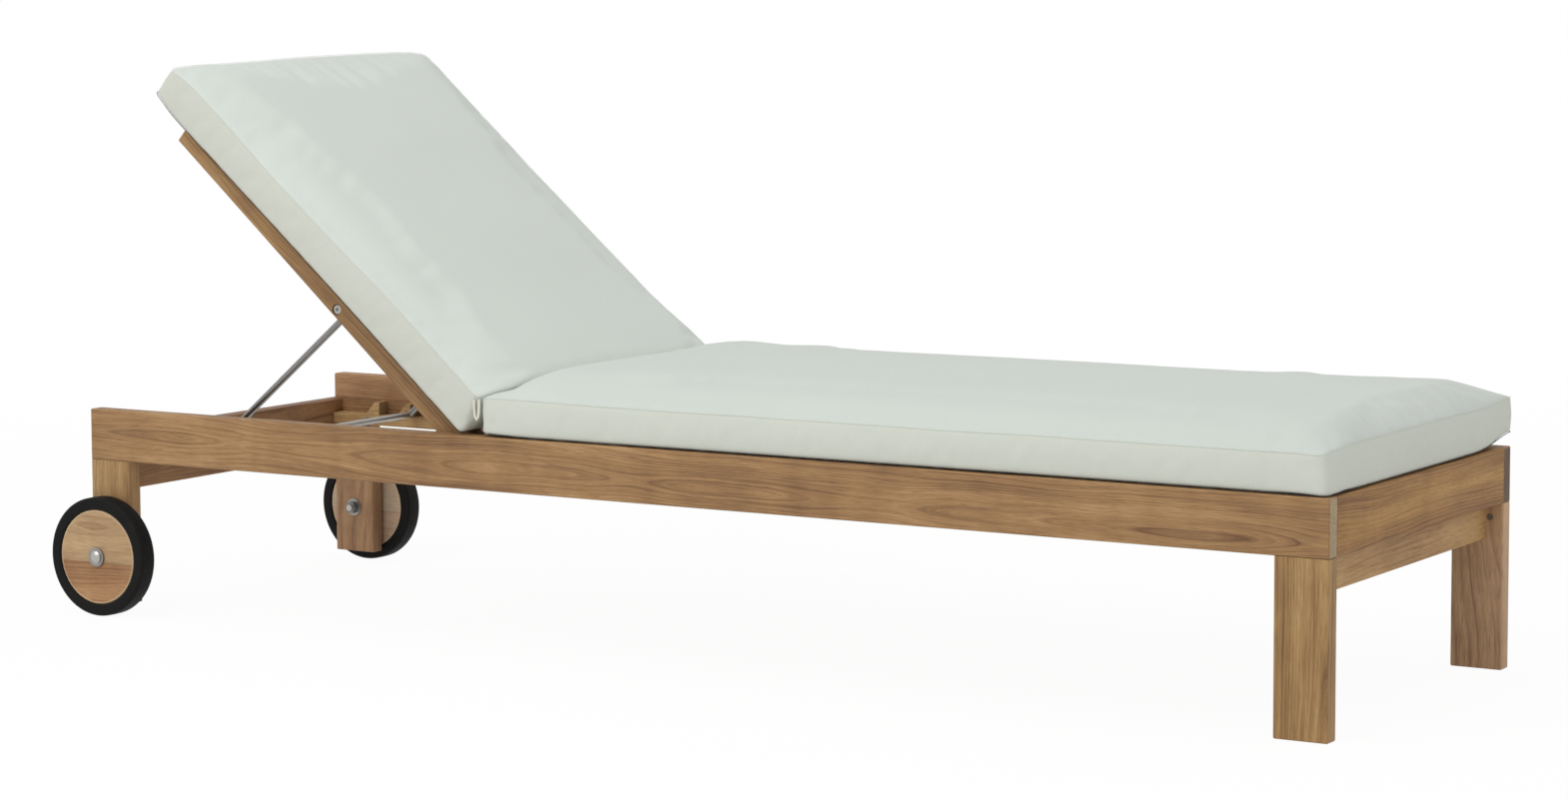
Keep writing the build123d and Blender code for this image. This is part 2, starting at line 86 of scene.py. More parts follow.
# The photograph's camera, fitted to the frame
CAMERA_PLACE = Vector((2.9163669, -4.6958587, 0.9559866))
CAMERA_RIGHT = Vector((0.85240282, 0.52287068, -0.00395901))
CAMERA_DOWN = Vector((0.04466801, -0.08035902, -0.99576463))
CAMERA_AHEAD = Vector((-0.52097427, 0.84861574, -0.09185385))
CAMERA_SHIFT = (0.00806, -0.04573)


def linear(hex_colour):
    """An sRGB hex colour as linear red, green, blue and alpha."""
    channels = [int(hex_colour[i:i + 2], 16) / 255 for i in (1, 3, 5)]
    curve = [c / 12.92 if c <= 0.04045 else ((c + 0.055) / 1.055) ** 2.4 for c in channels]
    return (*curve, 1.0)


def property_colour(name, description, hex_colour):
    return FloatVectorProperty(
        name=name, description=description, default=linear(hex_colour), size=4,
        subtype="COLOR", min=0.0, max=1.0,
    )


def length_property(name, description, millimetres):
    return FloatProperty(
        name=name, description=description, default=millimetres * MM, unit="LENGTH",
    )


class TeakSettings(bpy.types.PropertyGroup):
    light: property_colour("Light teak", "Colour of the early wood", "#BC996C")
    middle: property_colour("Middle teak", "Colour between the growth rings", "#9C7850")
    dark: property_colour("Dark teak", "Colour of the late wood and the pores", "#68482E")
    end_grain: property_colour("End grain", "Colour of a cut end", "#8A7D63")
    # The sanded rim colour is a painted highlight along a wheel disc's edge
    rim: property_colour("Sanded rim", "Colour of a wheel's sanded rim", "#CDB592")
    ring_spacing: length_property("Ring spacing", "Distance between growth rings", 5.5)
    gloss: FloatProperty(name="Roughness", description="Roughness of the oiled face", default=0.55)


class PadSettings(bpy.types.PropertyGroup):
    cloth: property_colour("Canvas", "Colour of the outdoor canvas", "#C6CDC7")
    # The back pad is the same canvas as the seat pad, drawn lighter as painted light on its tilted
    # face
    back_canvas_painted_light: property_colour("Back canvas", "Colour of the back pad's canvas", "#CCD3CD")
    # The boxing is the same canvas, tinted warmer as painted bounce light from the wood and floor
    boxing_painted_bounce: property_colour("Boxing", "Colour of the boxing band", "#C7CBC2")
    # The back boxing is the same canvas, drawn darker and warmer as painted shade and bounce light
    back_boxing_painted_shade: property_colour(
        "Back boxing", "Colour of the back pad's boxing band", "#C4C7BE")
    thread: property_colour("Thread", "Colour of the seams", "#D2D8CF")
    loop: property_colour("Loop", "Colour of the small loop at the crease", "#DAD9CB")
    # The tape colour is near black: painted shade for the shadow line between a pad and the frame
    shadow_tape: property_colour("Tape", "Colour of the tape round the underside", "#2A2723")
    cell: length_property("Mesh cell", "Size of the mesh cells of a pad", 8.5)
    band: length_property("Boxing height", "Height of the seat pad's boxing band", 50.5)
    back_band: length_property("Back boxing height", "Height of the back pad's boxing band", 60.0)
    crown: length_property("Crown", "Rise of the seat pad above its upper seam", 35.0)
    back_crown: length_property("Back crown", "Rise of the back pad above its upper seam", 24.0)
    crown_reach: length_property(
        "Crown reach", "How far inside the seam the crown levels out", 85.0)
    corner: length_property("Corner radius", "Radius of a pad's corners in plan", 13.0)
    bulge: length_property("Side bulge", "How far the boxing swells between its seams", 2.5)
    end_bulge: length_property("End bulge", "How far the boxing swells at the foot end", 4.5)
    edge_gap: length_property(
        "Edge gap", "How far the lower seam hangs clear of the frame", 2.4)
    welt: length_property("Seam radius", "Radius of the sewn ridge along a seam", 0.5)
    swell: length_property("Swell", "Furthest that the filling moves the cloth", 5.0)
    steps: IntProperty(name="Steps", description="Steps of the cloth simulation", default=16)


class HardwareSettings(bpy.types.PropertyGroup):
    steel: property_colour("Stainless steel", "Colour of the prop and bolts", "#BDBBB6")
    screw_head: length_property("Screw head", "Diameter of a countersunk screw head", 8.5)
    screw_rise: length_property("Screw rise", "Height of a screw head above the wood", 0.25)
    thread_pitch: length_property(
        "Thread pitch", "Distance between turns of a bolt's thread", 1.5)


class StageSettings(bpy.types.PropertyGroup):
    focal_length: FloatProperty(
        name="Focal length", description="Focal length in millimetres", default=89.154)
    floor: property_colour("Floor", "Colour of the studio floor", "#F4F4F3")
    clearing: FloatProperty(
        name="Floor whiteness", default=0.95, subtype="FACTOR",
        description="Share of plain white that the camera sees in the floor",
    )
    ambient: FloatProperty(
        name="Ambient light", description="Strength of the world's light", default=0.70)
    key: FloatProperty(
        name="Key light", description="Power of the key light in watts", default=85.0)
    fill: FloatProperty(
        name="Fill light", description="Power of the fill light in watts", default=26.0)


# Helpers for node trees and meshes
def set_inputs(tree, node, inputs):
    """Set or link a node's inputs; a node given as a value stands for its first output."""
    for key, value in inputs.items():
        if isinstance(value, bpy.types.Node):
            value = next(output for output in value.outputs if output.enabled)
        if isinstance(value, bpy.types.NodeSocket):
            tree.links.new(value, node.inputs[key])
        else:
            node.inputs[key].default_value = value


def add_node(tree, kind, inputs=None, stops=None, **settings):
    """Add a node with its settings and inputs; a kind with no "Node" in it is a shader node.

    stops are a colour ramp's (place, colour) pairs.
    """
    made = tree.nodes.new(kind if "Node" in kind else "ShaderNode" + kind)
    for key, value in settings.items():
        setattr(made, key, value)
    set_inputs(tree, made, inputs or {})
    if stops:
        elements = made.color_ramp.elements
        elements[0].position, elements[0].color = stops[0]
        elements[1].position, elements[1].color = stops[-1]
        for place, colour in stops[1:-1]:
            elements.new(place).color = colour
    return made


def new_material(name):
    """A material with its tree, its shader and the node that gives places on the piece."""
    material = bpy.data.materials.new(name)
    material.use_nodes = True
    tree = material.node_tree
    tree.nodes.clear()
    shader = add_node(tree, "BsdfPrincipled")
    add_node(tree, "OutputMaterial", {"Surface": shader})
    return material, tree, shader, add_node(tree, "TexCoord")


def stretched_noise(tree, place, scale, detail, roughness=0.5, size=1.0):
    """Noise that is stretched along some of its axes."""
    mapped = add_node(tree, "Mapping", {"Vector": place, "Scale": scale})
    return add_node(
        tree, "TexNoise",
        {"Vector": mapped, "Scale": size, "Detail": detail, "Roughness": roughness},
    )


def grey(value):
    return (value, value, value, 1.0)


def camera_or_mirror(tree):
    """1 for a ray from the camera, straight or by way of metal or glass, and 0 for light."""
    path = add_node(tree, "LightPath")
    mirror = add_node(
        tree, "Math", {0: path.outputs["Is Glossy Ray"], 1: path.outputs["Is Transmission Ray"]},
        operation="MAXIMUM",
    )
    return add_node(
        tree, "Math", {0: path.outputs["Is Camera Ray"], 1: mirror}, operation="MAXIMUM")


# Turns that bring a board's grain onto the X axis
GRAIN_TURNS = {
    "X": (0.0, 0.0, 0.0),
    "Y": (0.0, 0.0, -math.pi / 2),
    "Z": (0.0, math.pi / 2, 0.0),
    "BACK": (0.0, -RECLINE, 0.0),
}


def teak(name, grain, middle, seed, tone=0.0, warmth=0.0, richness=1.0, figure_depth=1.0,
         end_shade=1.0, arch=0.052):
    """Oiled flat-sawn teak: cathedral rings, long fibre streaks, short dark pores and duller ends.

    middle is the middle of the board; the grain runs along one axis and seed moves the pith.
    arch is how far the rings wander, which gives a flat-sawn board its arches.
    """
    wood = bpy.context.scene.chaise_teak
    material, tree, shader, place = new_material(name)
    centred = add_node(
        tree, "Mapping", {"Vector": place.outputs["Object"], "Location": tuple(-middle)})
    in_grain = add_node(
        tree, "Mapping",
        {"Vector": centred, "Rotation": GRAIN_TURNS[grain], "Location": (seed * 1.37, 0.0, 0.0)},
    )

    # Distance from the pith, with a slow wander along the board that draws the cathedral arches
    wander = stretched_noise(tree, in_grain, (1.5, 5.0, 5.0), 2.0, size=1.4)
    axes = add_node(tree, "SeparateXYZ", {"Vector": in_grain})
    pith_y = 0.006 + 0.020 * math.sin(seed * 5.1)
    pith_z = 0.040 + 0.020 * math.cos(seed * 3.3)
    lean = 0.020 * math.sin(seed * 2.3)
    face_axis, depth_axis = ("Y", "Z") if grain == "Z" else ("Z", "Y")
    leaned = add_node(
        tree, "Math", {0: axes.outputs["X"], 1: lean, 2: axes.outputs[face_axis]},
        operation="MULTIPLY_ADD",
    )
    across = add_node(tree, "Math", {0: leaned, 1: pith_y}, operation="ADD")
    depth = add_node(tree, "Math", {0: axes.outputs[depth_axis], 1: pith_z}, operation="ADD")
    across_sq = add_node(tree, "Math", {0: across, 1: across}, operation="MULTIPLY")
    radius_sq = add_node(
        tree, "Math", {0: depth, 1: depth, 2: across_sq}, operation="MULTIPLY_ADD")
    radius = add_node(tree, "Math", {0: radius_sq}, operation="SQRT")
    bent = add_node(tree, "Math", {0: wander, 1: arch, 2: radius}, operation="MULTIPLY_ADD")
    ring_place = add_node(
        tree, "CombineXYZ", {"X": axes.outputs["X"], "Y": bent, "Z": depth})

    # Growth rings of uneven width, each darkest at its late wood
    uneven = stretched_noise(tree, ring_place, (0.6, 34.0, 4.0), 1.0)
    spread = add_node(tree, "Math", {0: uneven, 1: 0.030, 2: bent}, operation="MULTIPLY_ADD")
    count = add_node(
        tree, "Math", {0: spread, 1: 1.0 / wood.ring_spacing}, operation="MULTIPLY")
    phase = add_node(tree, "Math", {0: count}, operation="FRACT")
    late_wood = add_node(tree, "ValToRGB", {"Fac": phase}, stops=[
        (0.0, grey(0.55)), (0.10, grey(0.18)), (0.50, grey(0.26)), (0.80, grey(0.50)),
        (0.94, grey(1.0)), (1.0, grey(0.55)),
    ])

    # Broad bands, fibre streaks 1 to 3 mm wide, pores 0.7 mm wide, drawn coarse enough to show
    broad = stretched_noise(tree, ring_place, (2.2, 26.0, 10.0), 3.0, 0.6)
    fibre = stretched_noise(tree, ring_place, (6.5, 520.0, 110.0), 5.0, 0.78)
    pore = stretched_noise(tree, in_grain, (45.0, 1300.0, 1300.0), 1.0)
    pore_mask = add_node(tree, "ValToRGB", {"Fac": pore}, stops=[
        (0.0, grey(1.0)), (0.34, grey(1.0)), (0.45, grey(0.0)), (1.0, grey(0.0)),
    ])
    # Light bands across the grain: painted sheen, the shimmer of a planed face in the light
    band = stretched_noise(tree, in_grain, (17.0, 5.0, 5.0), 2.0)

    vivid = add_node(
        tree, "MapRange",
        {"Value": broad, "From Min": 0.35, "From Max": 0.65, "To Min": 0.12, "To Max": 0.46},
    )
    share = add_node(tree, "Math", {0: late_wood, 1: vivid}, operation="MULTIPLY")
    # band takes from the share, so the painted sheen bands come out lighter
    for pattern, weight in ((fibre, 0.95 * figure_depth), (broad, 0.80), (band, -0.30)):
        share = add_node(
            tree, "Math", {0: pattern, 1: weight, 2: share}, operation="MULTIPLY_ADD")
    figure = add_node(
        tree, "Math", {0: share, 1: 0.475 * figure_depth - 0.20 - tone}, operation="SUBTRACT")
    colour = add_node(tree, "ValToRGB", {"Fac": figure}, stops=[
        (0.12, tuple(wood.light)), (0.50, tuple(wood.middle)), (0.92, tuple(wood.dark)),
    ])
    pore_depth = add_node(tree, "Math", {0: pore_mask, 1: 0.42}, operation="MULTIPLY")
    pored = add_node(
        tree, "Mix", {"Factor": pore_depth, "A": colour, "B": tuple(wood.dark)},
        data_type="RGBA",
    )

    # The cut ends are duller and greyer
    facing = add_node(
        tree, "Mapping", {"Vector": place.outputs["Normal"], "Rotation": GRAIN_TURNS[grain]})
    facing_axes = add_node(tree, "SeparateXYZ", {"Vector": facing})
    endness = add_node(tree, "Math", {0: facing_axes.outputs["X"]}, operation="ABSOLUTE")
    end_mask = add_node(
        tree, "MapRange", {"Value": endness, "From Min": 0.80, "From Max": 0.97, "To Max": 0.72})
    vessels = stretched_noise(tree, in_grain, (120.0, 260.0, 260.0), 3.0)
    end_value = add_node(
        tree, "MapRange",
        {"Value": vessels, "From Min": 0.3, "From Max": 0.7,
         "To Min": 0.74 * end_shade, "To Max": 1.2 * end_shade},
    )
    end_colour = add_node(
        tree, "HueSaturation", {"Color": tuple(wood.end_grain), "Value": end_value})
    ended = add_node(
        tree, "Mix", {"Factor": end_mask, "A": pored, "B": end_colour}, data_type="RGBA")
    warmed = add_node(
        tree, "HueSaturation", {"Color": ended, "Hue": 0.5 + warmth, "Saturation": richness})

    rough = add_node(
        tree, "MapRange",
        {"Value": fibre, "To Min": wood.gloss - 0.08, "To Max": wood.gloss + 0.14},
    )
    groove = add_node(tree, "Math", {0: pore_mask, 1: -0.8, 2: fibre}, operation="MULTIPLY_ADD")
    bump = add_node(tree, "Bump", {"Height": groove, "Strength": 0.35, "Distance": 0.25 * MM})
    set_inputs(tree, shader, {
        "Base Color": warmed, "Roughness": rough, "Specular IOR Level": 0.35, "Normal": bump,
    })
    return material


def canvas(name, colour):
    """Solution-dyed outdoor canvas: plain weave, matt, with a soft sheen and faint mottling.

    It follows the cloth's own UV map, in metres. The real threads lie 0.5 mm apart; they are
    drawn 1.3 mm apart so that they show close up. Small puckers run off the seams.
    """
    material, tree, shader, place = new_material(name)
    on_cloth = place.outputs["UV"]
    spacing = 1.3 * MM
    threads = {}
    for number, axis in enumerate(("X", "Y")):
        threads[number] = add_node(
            tree, "TexWave",
            {"Vector": on_cloth, "Scale": math.pi / 10 / spacing, "Distortion": 0.7,
             "Detail": 1.0},
            wave_type="BANDS", bands_direction=axis, wave_profile="SIN",
        ).outputs["Fac"]
    weave = add_node(tree, "Math", threads, operation="MAXIMUM")
    slub = add_node(tree, "TexNoise", {"Vector": on_cloth, "Scale": 380.0, "Detail": 2.0})
    mottle = add_node(
        tree, "TexNoise", {"Vector": place.outputs["Object"], "Scale": 6.0, "Detail": 3.0})
    shade = add_node(tree, "MapRange", {"Value": mottle, "To Min": 0.975, "To Max": 1.02})
    grainy = add_node(tree, "MapRange", {"Value": slub, "To Min": 0.955, "To Max": 1.04})
    value = add_node(tree, "Math", {0: shade, 1: grainy}, operation="MULTIPLY")
    tinted = add_node(tree, "HueSaturation", {"Color": tuple(colour), "Value": value})

    # Soft creases everywhere, puckers within 26 mm of a seam, and the weave on top
    seam = add_node(tree, "Attribute", attribute_name="seam_distance")
    near = add_node(
        tree, "MapRange",
        {"Value": seam.outputs["Fac"], "From Max": 26 * MM, "To Min": 1.0, "To Max": 0.0},
        interpolation_type="SMOOTHSTEP",
    )
    pull = stretched_noise(tree, on_cloth, (85.0, 85.0, 1.0), 2.0)
    pucker = add_node(tree, "Math", {0: pull, 1: near}, operation="MULTIPLY")
    creases = add_node(
        tree, "TexNoise",
        {"Vector": place.outputs["Object"], "Scale": 13.0, "Detail": 3.0, "Roughness": 0.45,
         "Distortion": 0.8},
    )
    height = add_node(tree, "Math", {0: slub, 1: 0.6, 2: weave}, operation="MULTIPLY_ADD")
    relief = {}
    for pattern, strength, distance in (
        (creases, 0.16, 3 * MM), (pucker, 0.15, 2.2 * MM), (height, 0.22, 0.2 * MM),
    ):
        relief["Normal"] = add_node(
            tree, "Bump",
            {"Height": pattern, "Strength": strength, "Distance": distance, **relief},
        )
    set_inputs(tree, shader, {
        "Base Color": tinted, "Roughness": 0.88, "Specular IOR Level": 0.25,
        "Sheen Weight": 0.10, "Sheen Roughness": 0.5, **relief,
    })
    return material


def shadow_line_tape(name, colour):
    """Near-black tape on a pad's lower seam, painted shade for the shadow line between pad and
    frame: matt, ribbed across.
    """
    material, tree, shader, place = new_material(name)
    rib = add_node(
        tree, "TexNoise", {"Vector": place.outputs["Object"], "Scale": 900.0, "Detail": 1.0})
    value = add_node(tree, "MapRange", {"Value": rib, "To Min": 0.8, "To Max": 1.2})
    tinted = add_node(tree, "HueSaturation", {"Color": tuple(colour), "Value": value})
    bump = add_node(tree, "Bump", {"Height": rib, "Strength": 0.3, "Distance": 0.2 * MM})
    set_inputs(tree, shader, {"Base Color": tinted, "Roughness": 0.9, "Normal": bump})
    return material


def brushed_stainless(name, streak, shade=1.0, turn=(0.0, 0.0, 0.0)):
    """Type 304 stainless steel with drawn streaks along the rod and a soft, greyish shine.

    streak is the scale of the streaks along each axis, after the turn; shade darkens the colour as
    painted shade, standing for darker reflections.
    """
    steel = bpy.context.scene.chaise_hardware.steel
    material, tree, shader, place = new_material(name)
    drawn = add_node(tree, "Mapping", {"Vector": place.outputs["Object"], "Rotation": turn})
    streaks = stretched_noise(tree, drawn, streak, 3.0)
    stain = add_node(
        tree, "TexNoise", {"Vector": place.outputs["Object"], "Scale": 60.0, "Detail": 3.0})
    value = add_node(
        tree, "MapRange", {"Value": stain, "To Min": 0.88 * shade, "To Max": 1.08 * shade})
    tinted = add_node(tree, "HueSaturation", {"Color": tuple(steel), "Value": value})
    rough = add_node(tree, "MapRange", {"Value": streaks, "To Min": 0.26, "To Max": 0.48})
    bump = add_node(tree, "Bump", {"Height": streaks, "Strength": 0.2, "Distance": 0.05 * MM})
    set_inputs(tree, shader, {
        "Base Color": tinted, "Metallic": 1.0, "Roughness": rough, "Normal": bump,
    })
    return material


def moulded_rubber(name):
    """Black moulded rubber: matt, very dark grey, faintly mottled with dust."""
    material, tree, shader, place = new_material(name)
    grit = add_node(
        tree, "TexNoise", {"Vector": place.outputs["Object"], "Scale": 900.0, "Detail": 2.0})
    dust = add_node(
        tree, "TexNoise", {"Vector": place.outputs["Object"], "Scale": 45.0, "Detail": 4.0})
    colour = add_node(tree, "ValToRGB", {"Fac": dust}, stops=[
        (0.3, linear("#0C0B0B")), (0.62, linear("#141312")), (0.8, linear("#201E1D")),
    ])
    rough = add_node(tree, "MapRange", {"Value": dust, "To Min": 0.55, "To Max": 0.8})
    bump = add_node(tree, "Bump", {"Height": grit, "Strength": 0.3, "Distance": 0.1 * MM})
    set_inputs(tree, shader, {
        "Base Color": colour, "Roughness": rough, "Specular IOR Level": 0.14, "Normal": bump,
    })
    return material


def nylon(name):
    """Off-white turned nylon of the bushes: waxy and slightly rough."""
    material, tree, shader, place = new_material(name)
    tooled = add_node(
        tree, "TexNoise", {"Vector": place.outputs["Object"], "Scale": 700.0, "Detail": 2.0})
    colour = add_node(
        tree, "ValToRGB", {"Fac": tooled},
        stops=[(0.3, linear("#D6D3C8")), (0.7, linear("#E4E1D8"))],
    )
    bump = add_node(tree, "Bump", {"Height": tooled, "Strength": 0.15, "Distance": 0.05 * MM})
    set_inputs(tree, shader, {"Base Color": colour, "Roughness": 0.45, "Normal": bump})
    return material


def dress(node, material):
    """Give every face of a CAD node one material."""
    mesh = frame["nodes"][node].data
    mesh.materials.clear()
    mesh.materials.append(material)


def middle_of(node):
    low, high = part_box(node)
    return (low + high) / 2


def in_scene(name, data):
    """A new object, put in the scene."""
    made = bpy.data.objects.new(name, data)
    bpy.context.scene.collection.objects.link(made)
    return made


def evaluated_mesh(piece):
    """The plain mesh that a piece's modifiers make of it."""
    graph = bpy.context.evaluated_depsgraph_get()
    return bpy.data.meshes.new_from_object(piece.evaluated_get(graph))


def finished_mesh(name, mesh, materials, body):
    """Give a finished mesh its materials and put it on its body."""
    piece = in_scene(name, mesh)
    for number, material in enumerate(materials):
        if number < len(mesh.materials):
            mesh.materials[number] = material
        else:
            mesh.materials.append(material)
    if body:
        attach(piece, body)
    return piece


def shade_smooth(mesh):
    mesh.polygons.foreach_set("use_smooth", [True] * len(mesh.polygons))


# Pads
def bell(distance, spread):
    """1 in the middle, a third at the spread and close to nothing at twice the spread."""
    return math.exp(-(distance / spread) ** 2)


def fade(distance, reach):
    """1 at the start, and a third of it at each further reach."""
    return math.exp(-distance / reach)


def soft_step(value):
    """A share, held between 0 and 1, with soft ends."""
    share = min(1.0, max(0.0, value))
    return share * share * (3 - 2 * share)


def corner_place(x, y, half_x, half_y, radius):
    """Move a point of a rectangle's grid so that the rectangle's corners become round."""
    beyond_x = abs(x) - (half_x - radius)
    beyond_y = abs(y) - (half_y - radius)
    if beyond_x <= 0 or beyond_y <= 0:
        return x, y
    reach = max(beyond_x, beyond_y)
    if beyond_x >= beyond_y:
        angle = math.pi / 4 * beyond_y / beyond_x
    else:
        angle = math.pi / 2 - math.pi / 4 * beyond_x / beyond_y
    new_x = half_x - radius + reach * math.cos(angle)
    new_y = half_y - radius + reach * math.sin(angle)
    return math.copysign(new_x, x), math.copysign(new_y, y)


def dome(distance, reach):
    """Rise of the crown at a distance inside the seam, from 0 to 1: quick first, then level."""
    if reach == 0 or distance >= reach:
        return 1.0
    return 1.0 - (1.0 - distance / reach) ** 3.6


def even_places(half, radius, cell):
    """Grid places from -half to half that hold the start of each corner."""
    straight = 2 * (half - radius)
    count = max(2, round(straight / cell))
    corner_count = max(2, round(radius / cell))
    places = [-half + radius * step / corner_count for step in range(corner_count)]
    places += [-half + radius + straight * step / count for step in range(count + 1)]
    places += [
        half - radius + radius * (step + 1) / corner_count for step in range(corner_count)]
    return places


def fold(x, y, start, end, width, height):
    """Height of a soft fold of cloth that runs from start to end."""
    run = Vector((end[0] - start[0], end[1] - start[1]))
    share = ((x - start[0]) * run.x + (y - start[1]) * run.y) / run.length_squared
    off = abs((x - start[0]) * run.y - (y - start[1]) * run.x) / run.length
    if not 0.0 < share < 1.0:
        return 0.0
    return height * math.sin(math.pi * share) * bell(off, width)


def pad_form(half_x, half_y, band, crown, reaches, slow, plan_shift, low_rise, top_rise):
    """Closed boxed pad about the origin, standing on z = 0: faces, seams, UVs and distances.

    crown is the rise at a place (x, y); reaches are the crown's reach inside the -X, +X, -Y and
    +Y edges; slow is how much the crown lags at the corners. plan_shift moves a place (x, y) in
    plan; low_rise and top_rise lift the seams there.
    """
    pad = bpy.context.scene.chaise_pad
    side_tuck = 2.5 * MM
    rim_reach = 45 * MM
    lag_spread = 75 * MM
    lump_height = 1.1 * MM
    settle_reach = 26 * MM
    corner_spread = 70 * MM
    xs = even_places(half_x, pad.corner, pad.cell)
    ys = even_places(half_y, pad.corner, pad.cell)

    def plan(x, y):
        px, py = corner_place(x, y, half_x, half_y, pad.corner)
        share_x = px / half_x
        share_y = py / half_y
        py -= side_tuck * share_y * (1 - share_x ** 6)
        move_x, move_y = plan_shift(px, py)
        return px + move_x, py + move_y

    verts, seam_distance, faces, face_uvs = [], [], [], []
    upper, lower = {}, {}
    for i, x in enumerate(xs):
        for j, y in enumerate(ys):
            px, py = plan(x, y)
            from_x = half_x - abs(x)
            from_y = half_y - abs(y)
            inside = min(from_x, from_y)
            reach_x = reaches[0 if x < 0 else 1]
            reach_y = reaches[2 if y < 0 else 3]
            lift = dome(from_x, reach_x) * dome(from_y, reach_y)
            lift *= 1 - slow * bell(math.hypot(from_x, from_y), lag_spread)
            lump = lump_height * noise.noise(Vector((px * 5.5, py * 5.5, half_x * 9))) * lift
            rise = crown(px, py) * lift + top_rise(px, py) * fade(inside, rim_reach) + lump
            settle = soft_step(inside / settle_reach)
            under = (pad.edge_gap + low_rise(px, py)) * (1 - settle)
            for layer, height in ((upper, pad.edge_gap + band + rise), (lower, under)):
                layer[i, j] = len(verts)
                verts.append((px, py, height))
                seam_distance.append(inside)
    last_i = len(xs) - 1
    last_j = len(ys) - 1
    for i in range(last_i):
        for j in range(last_j):
            corners = ((i, j), (i + 1, j), (i + 1, j + 1), (i, j + 1))
            top = [upper[key] for key in corners]
            under = [lower[key] for key in (corners[0], *corners[:0:-1])]
            for face in (top, under):
                faces.append(face)
                face_uvs.append([verts[index][:2] for index in face])

    # The boxing band joins the two seams, and swells between them
    rim = [(i, 0) for i in range(last_i)] + [(last_i, j) for j in range(last_j)]
    rim += [(i, last_j) for i in range(last_i, 0, -1)] + [(0, j) for j in range(last_j, 0, -1)]
    top_seam = [upper[key] for key in rim]
    low_seam = [lower[key] for key in rim]
    count = len(rim)
    outward = []
    around = [0.0]
    for step in range(count):
        ahead = Vector(verts[top_seam[(step + 1) % count]][:2])
        behind = Vector(verts[top_seam[step - 1]][:2])
        here = Vector(verts[top_seam[step]][:2])
        along = (ahead - behind).normalized()
        outward.append((along.y, -along.x))
        around.append(around[-1] + (ahead - here).length)
    rows = max(4, round(band / pad.cell))
    rings = [low_seam]
    for row in range(1, rows):
        share = row / rows
        ring = []
        for step in range(count):
            x, y, high = verts[top_seam[step]]
            low = verts[low_seam[step]][2]
            out_x, out_y = outward[step]
            from_corner = math.hypot(half_x - abs(x), half_y - abs(y))
            bulge = pad.bulge + (pad.end_bulge - pad.bulge) * max(0.0, out_x) ** 4
            bulge *= 1 - 0.85 * bell(from_corner, corner_spread)
            bulge *= math.sin(math.pi * share) ** 0.8
            ring.append(len(verts))
            verts.append((x + out_x * bulge, y + out_y * bulge, low + (high - low) * share))
            seam_distance.append(min(share, 1 - share) * band)
        rings.append(ring)
    rings.append(top_seam)
    band_start = len(faces)
    for row, (under, over) in enumerate(zip(rings, rings[1:])):
        low_v = band * row / rows
        high_v = band * (row + 1) / rows
        for step in range(count):
            after = (step + 1) % count
            faces.append((under[step], under[after], over[after], over[step]))
            left, right = around[step], around[step + 1]
            face_uvs.append([(left, low_v), (right, low_v), (right, high_v), (left, high_v)])
    return verts, faces, face_uvs, seam_distance, low_seam, top_seam, band_start


# The canvas in the cloth simulation, held at the seams and filled with air
CLOTH = {
    "quality": 5, "mass": 0.3, "tension_stiffness": 20, "compression_stiffness": 20,
    "shear_stiffness": 8, "bending_stiffness": 0.8, "vertex_group_mass": "seams",
    "pin_stiffness": 1.0, "use_pressure": True, "shrink_min": -0.008,
}


def points_of(mesh):
    """The places of a mesh's vertices."""
    values = np.empty(len(mesh.vertices) * 3)
    mesh.vertices.foreach_get("co", values)
    return values.reshape(-1, 3)


def swell(piece, held, limit, steps, pressure):
    """Cloth simulation: air inside fills the pad while its seams hold; the result is applied."""
    mesh = piece.data
    before = points_of(mesh)
    piece.vertex_groups.new(name="seams").add(held, 1.0, "REPLACE")
    cloth = piece.modifiers.new("Filling", "CLOTH")
    for name, value in CLOTH.items():
        setattr(cloth.settings, name, value)
    cloth.settings.uniform_pressure_force = pressure
    cloth.settings.effector_weights.gravity = 0.0
    cloth.point_cache.frame_start = 1
    cloth.point_cache.frame_end = steps
    scene = bpy.context.scene
    for step in range(1, steps + 1):
        scene.frame_set(step)
    result = evaluated_mesh(piece)
    move = points_of(result) - before
    bpy.data.meshes.remove(result)
    piece.modifiers.remove(cloth)
    scene.frame_set(1)
    length = np.linalg.norm(move, axis=1, keepdims=True)
    move *= np.minimum(1.0, limit / np.maximum(length, 1e-9))
    mesh.vertices.foreach_set("co", (before + move).ravel())
    mesh.update()


def make_pad(name, place, form, pressure, shape):
    """Build, fill and subdivide a pad. place moves it from its own axes to where it lies."""
    pad = bpy.context.scene.chaise_pad
    verts, faces, face_uvs, seam_distance, low_seam, top_seam, band_start = form
    mesh = bpy.data.meshes.new(name)
    mesh.from_pydata(verts, [], faces)
    mesh.materials.append(None)
    mesh.materials.append(None)
    mesh.polygons.foreach_set(
        "material_index", [int(number >= band_start) for number in range(len(faces))])
    layer = mesh.uv_layers.new(name="cloth")
    layer.data.foreach_set(
        "uv", [value for corners in face_uvs for corner in corners for value in corner])
    distance = mesh.attributes.new("seam_distance", "FLOAT", "POINT")
    distance.data.foreach_set("value", seam_distance)
    mesh.update()
    piece = in_scene(name, mesh)
    swell(piece, low_seam + top_seam, pad.swell, pad.steps, pressure)
    for vertex in mesh.vertices:
        vertex.co = shape(vertex.co)
    seams = [[place @ mesh.vertices[i].co for i in seam] for seam in (low_seam, top_seam)]
    smooth = piece.modifiers.new("Smooth", "SUBSURF")
    smooth.levels = 1
    smooth.render_levels = 1
    result = evaluated_mesh(piece)
    bpy.data.objects.remove(piece)
    result.name = name
    result.transform(place)
    shade_smooth(result)
    return result, seams


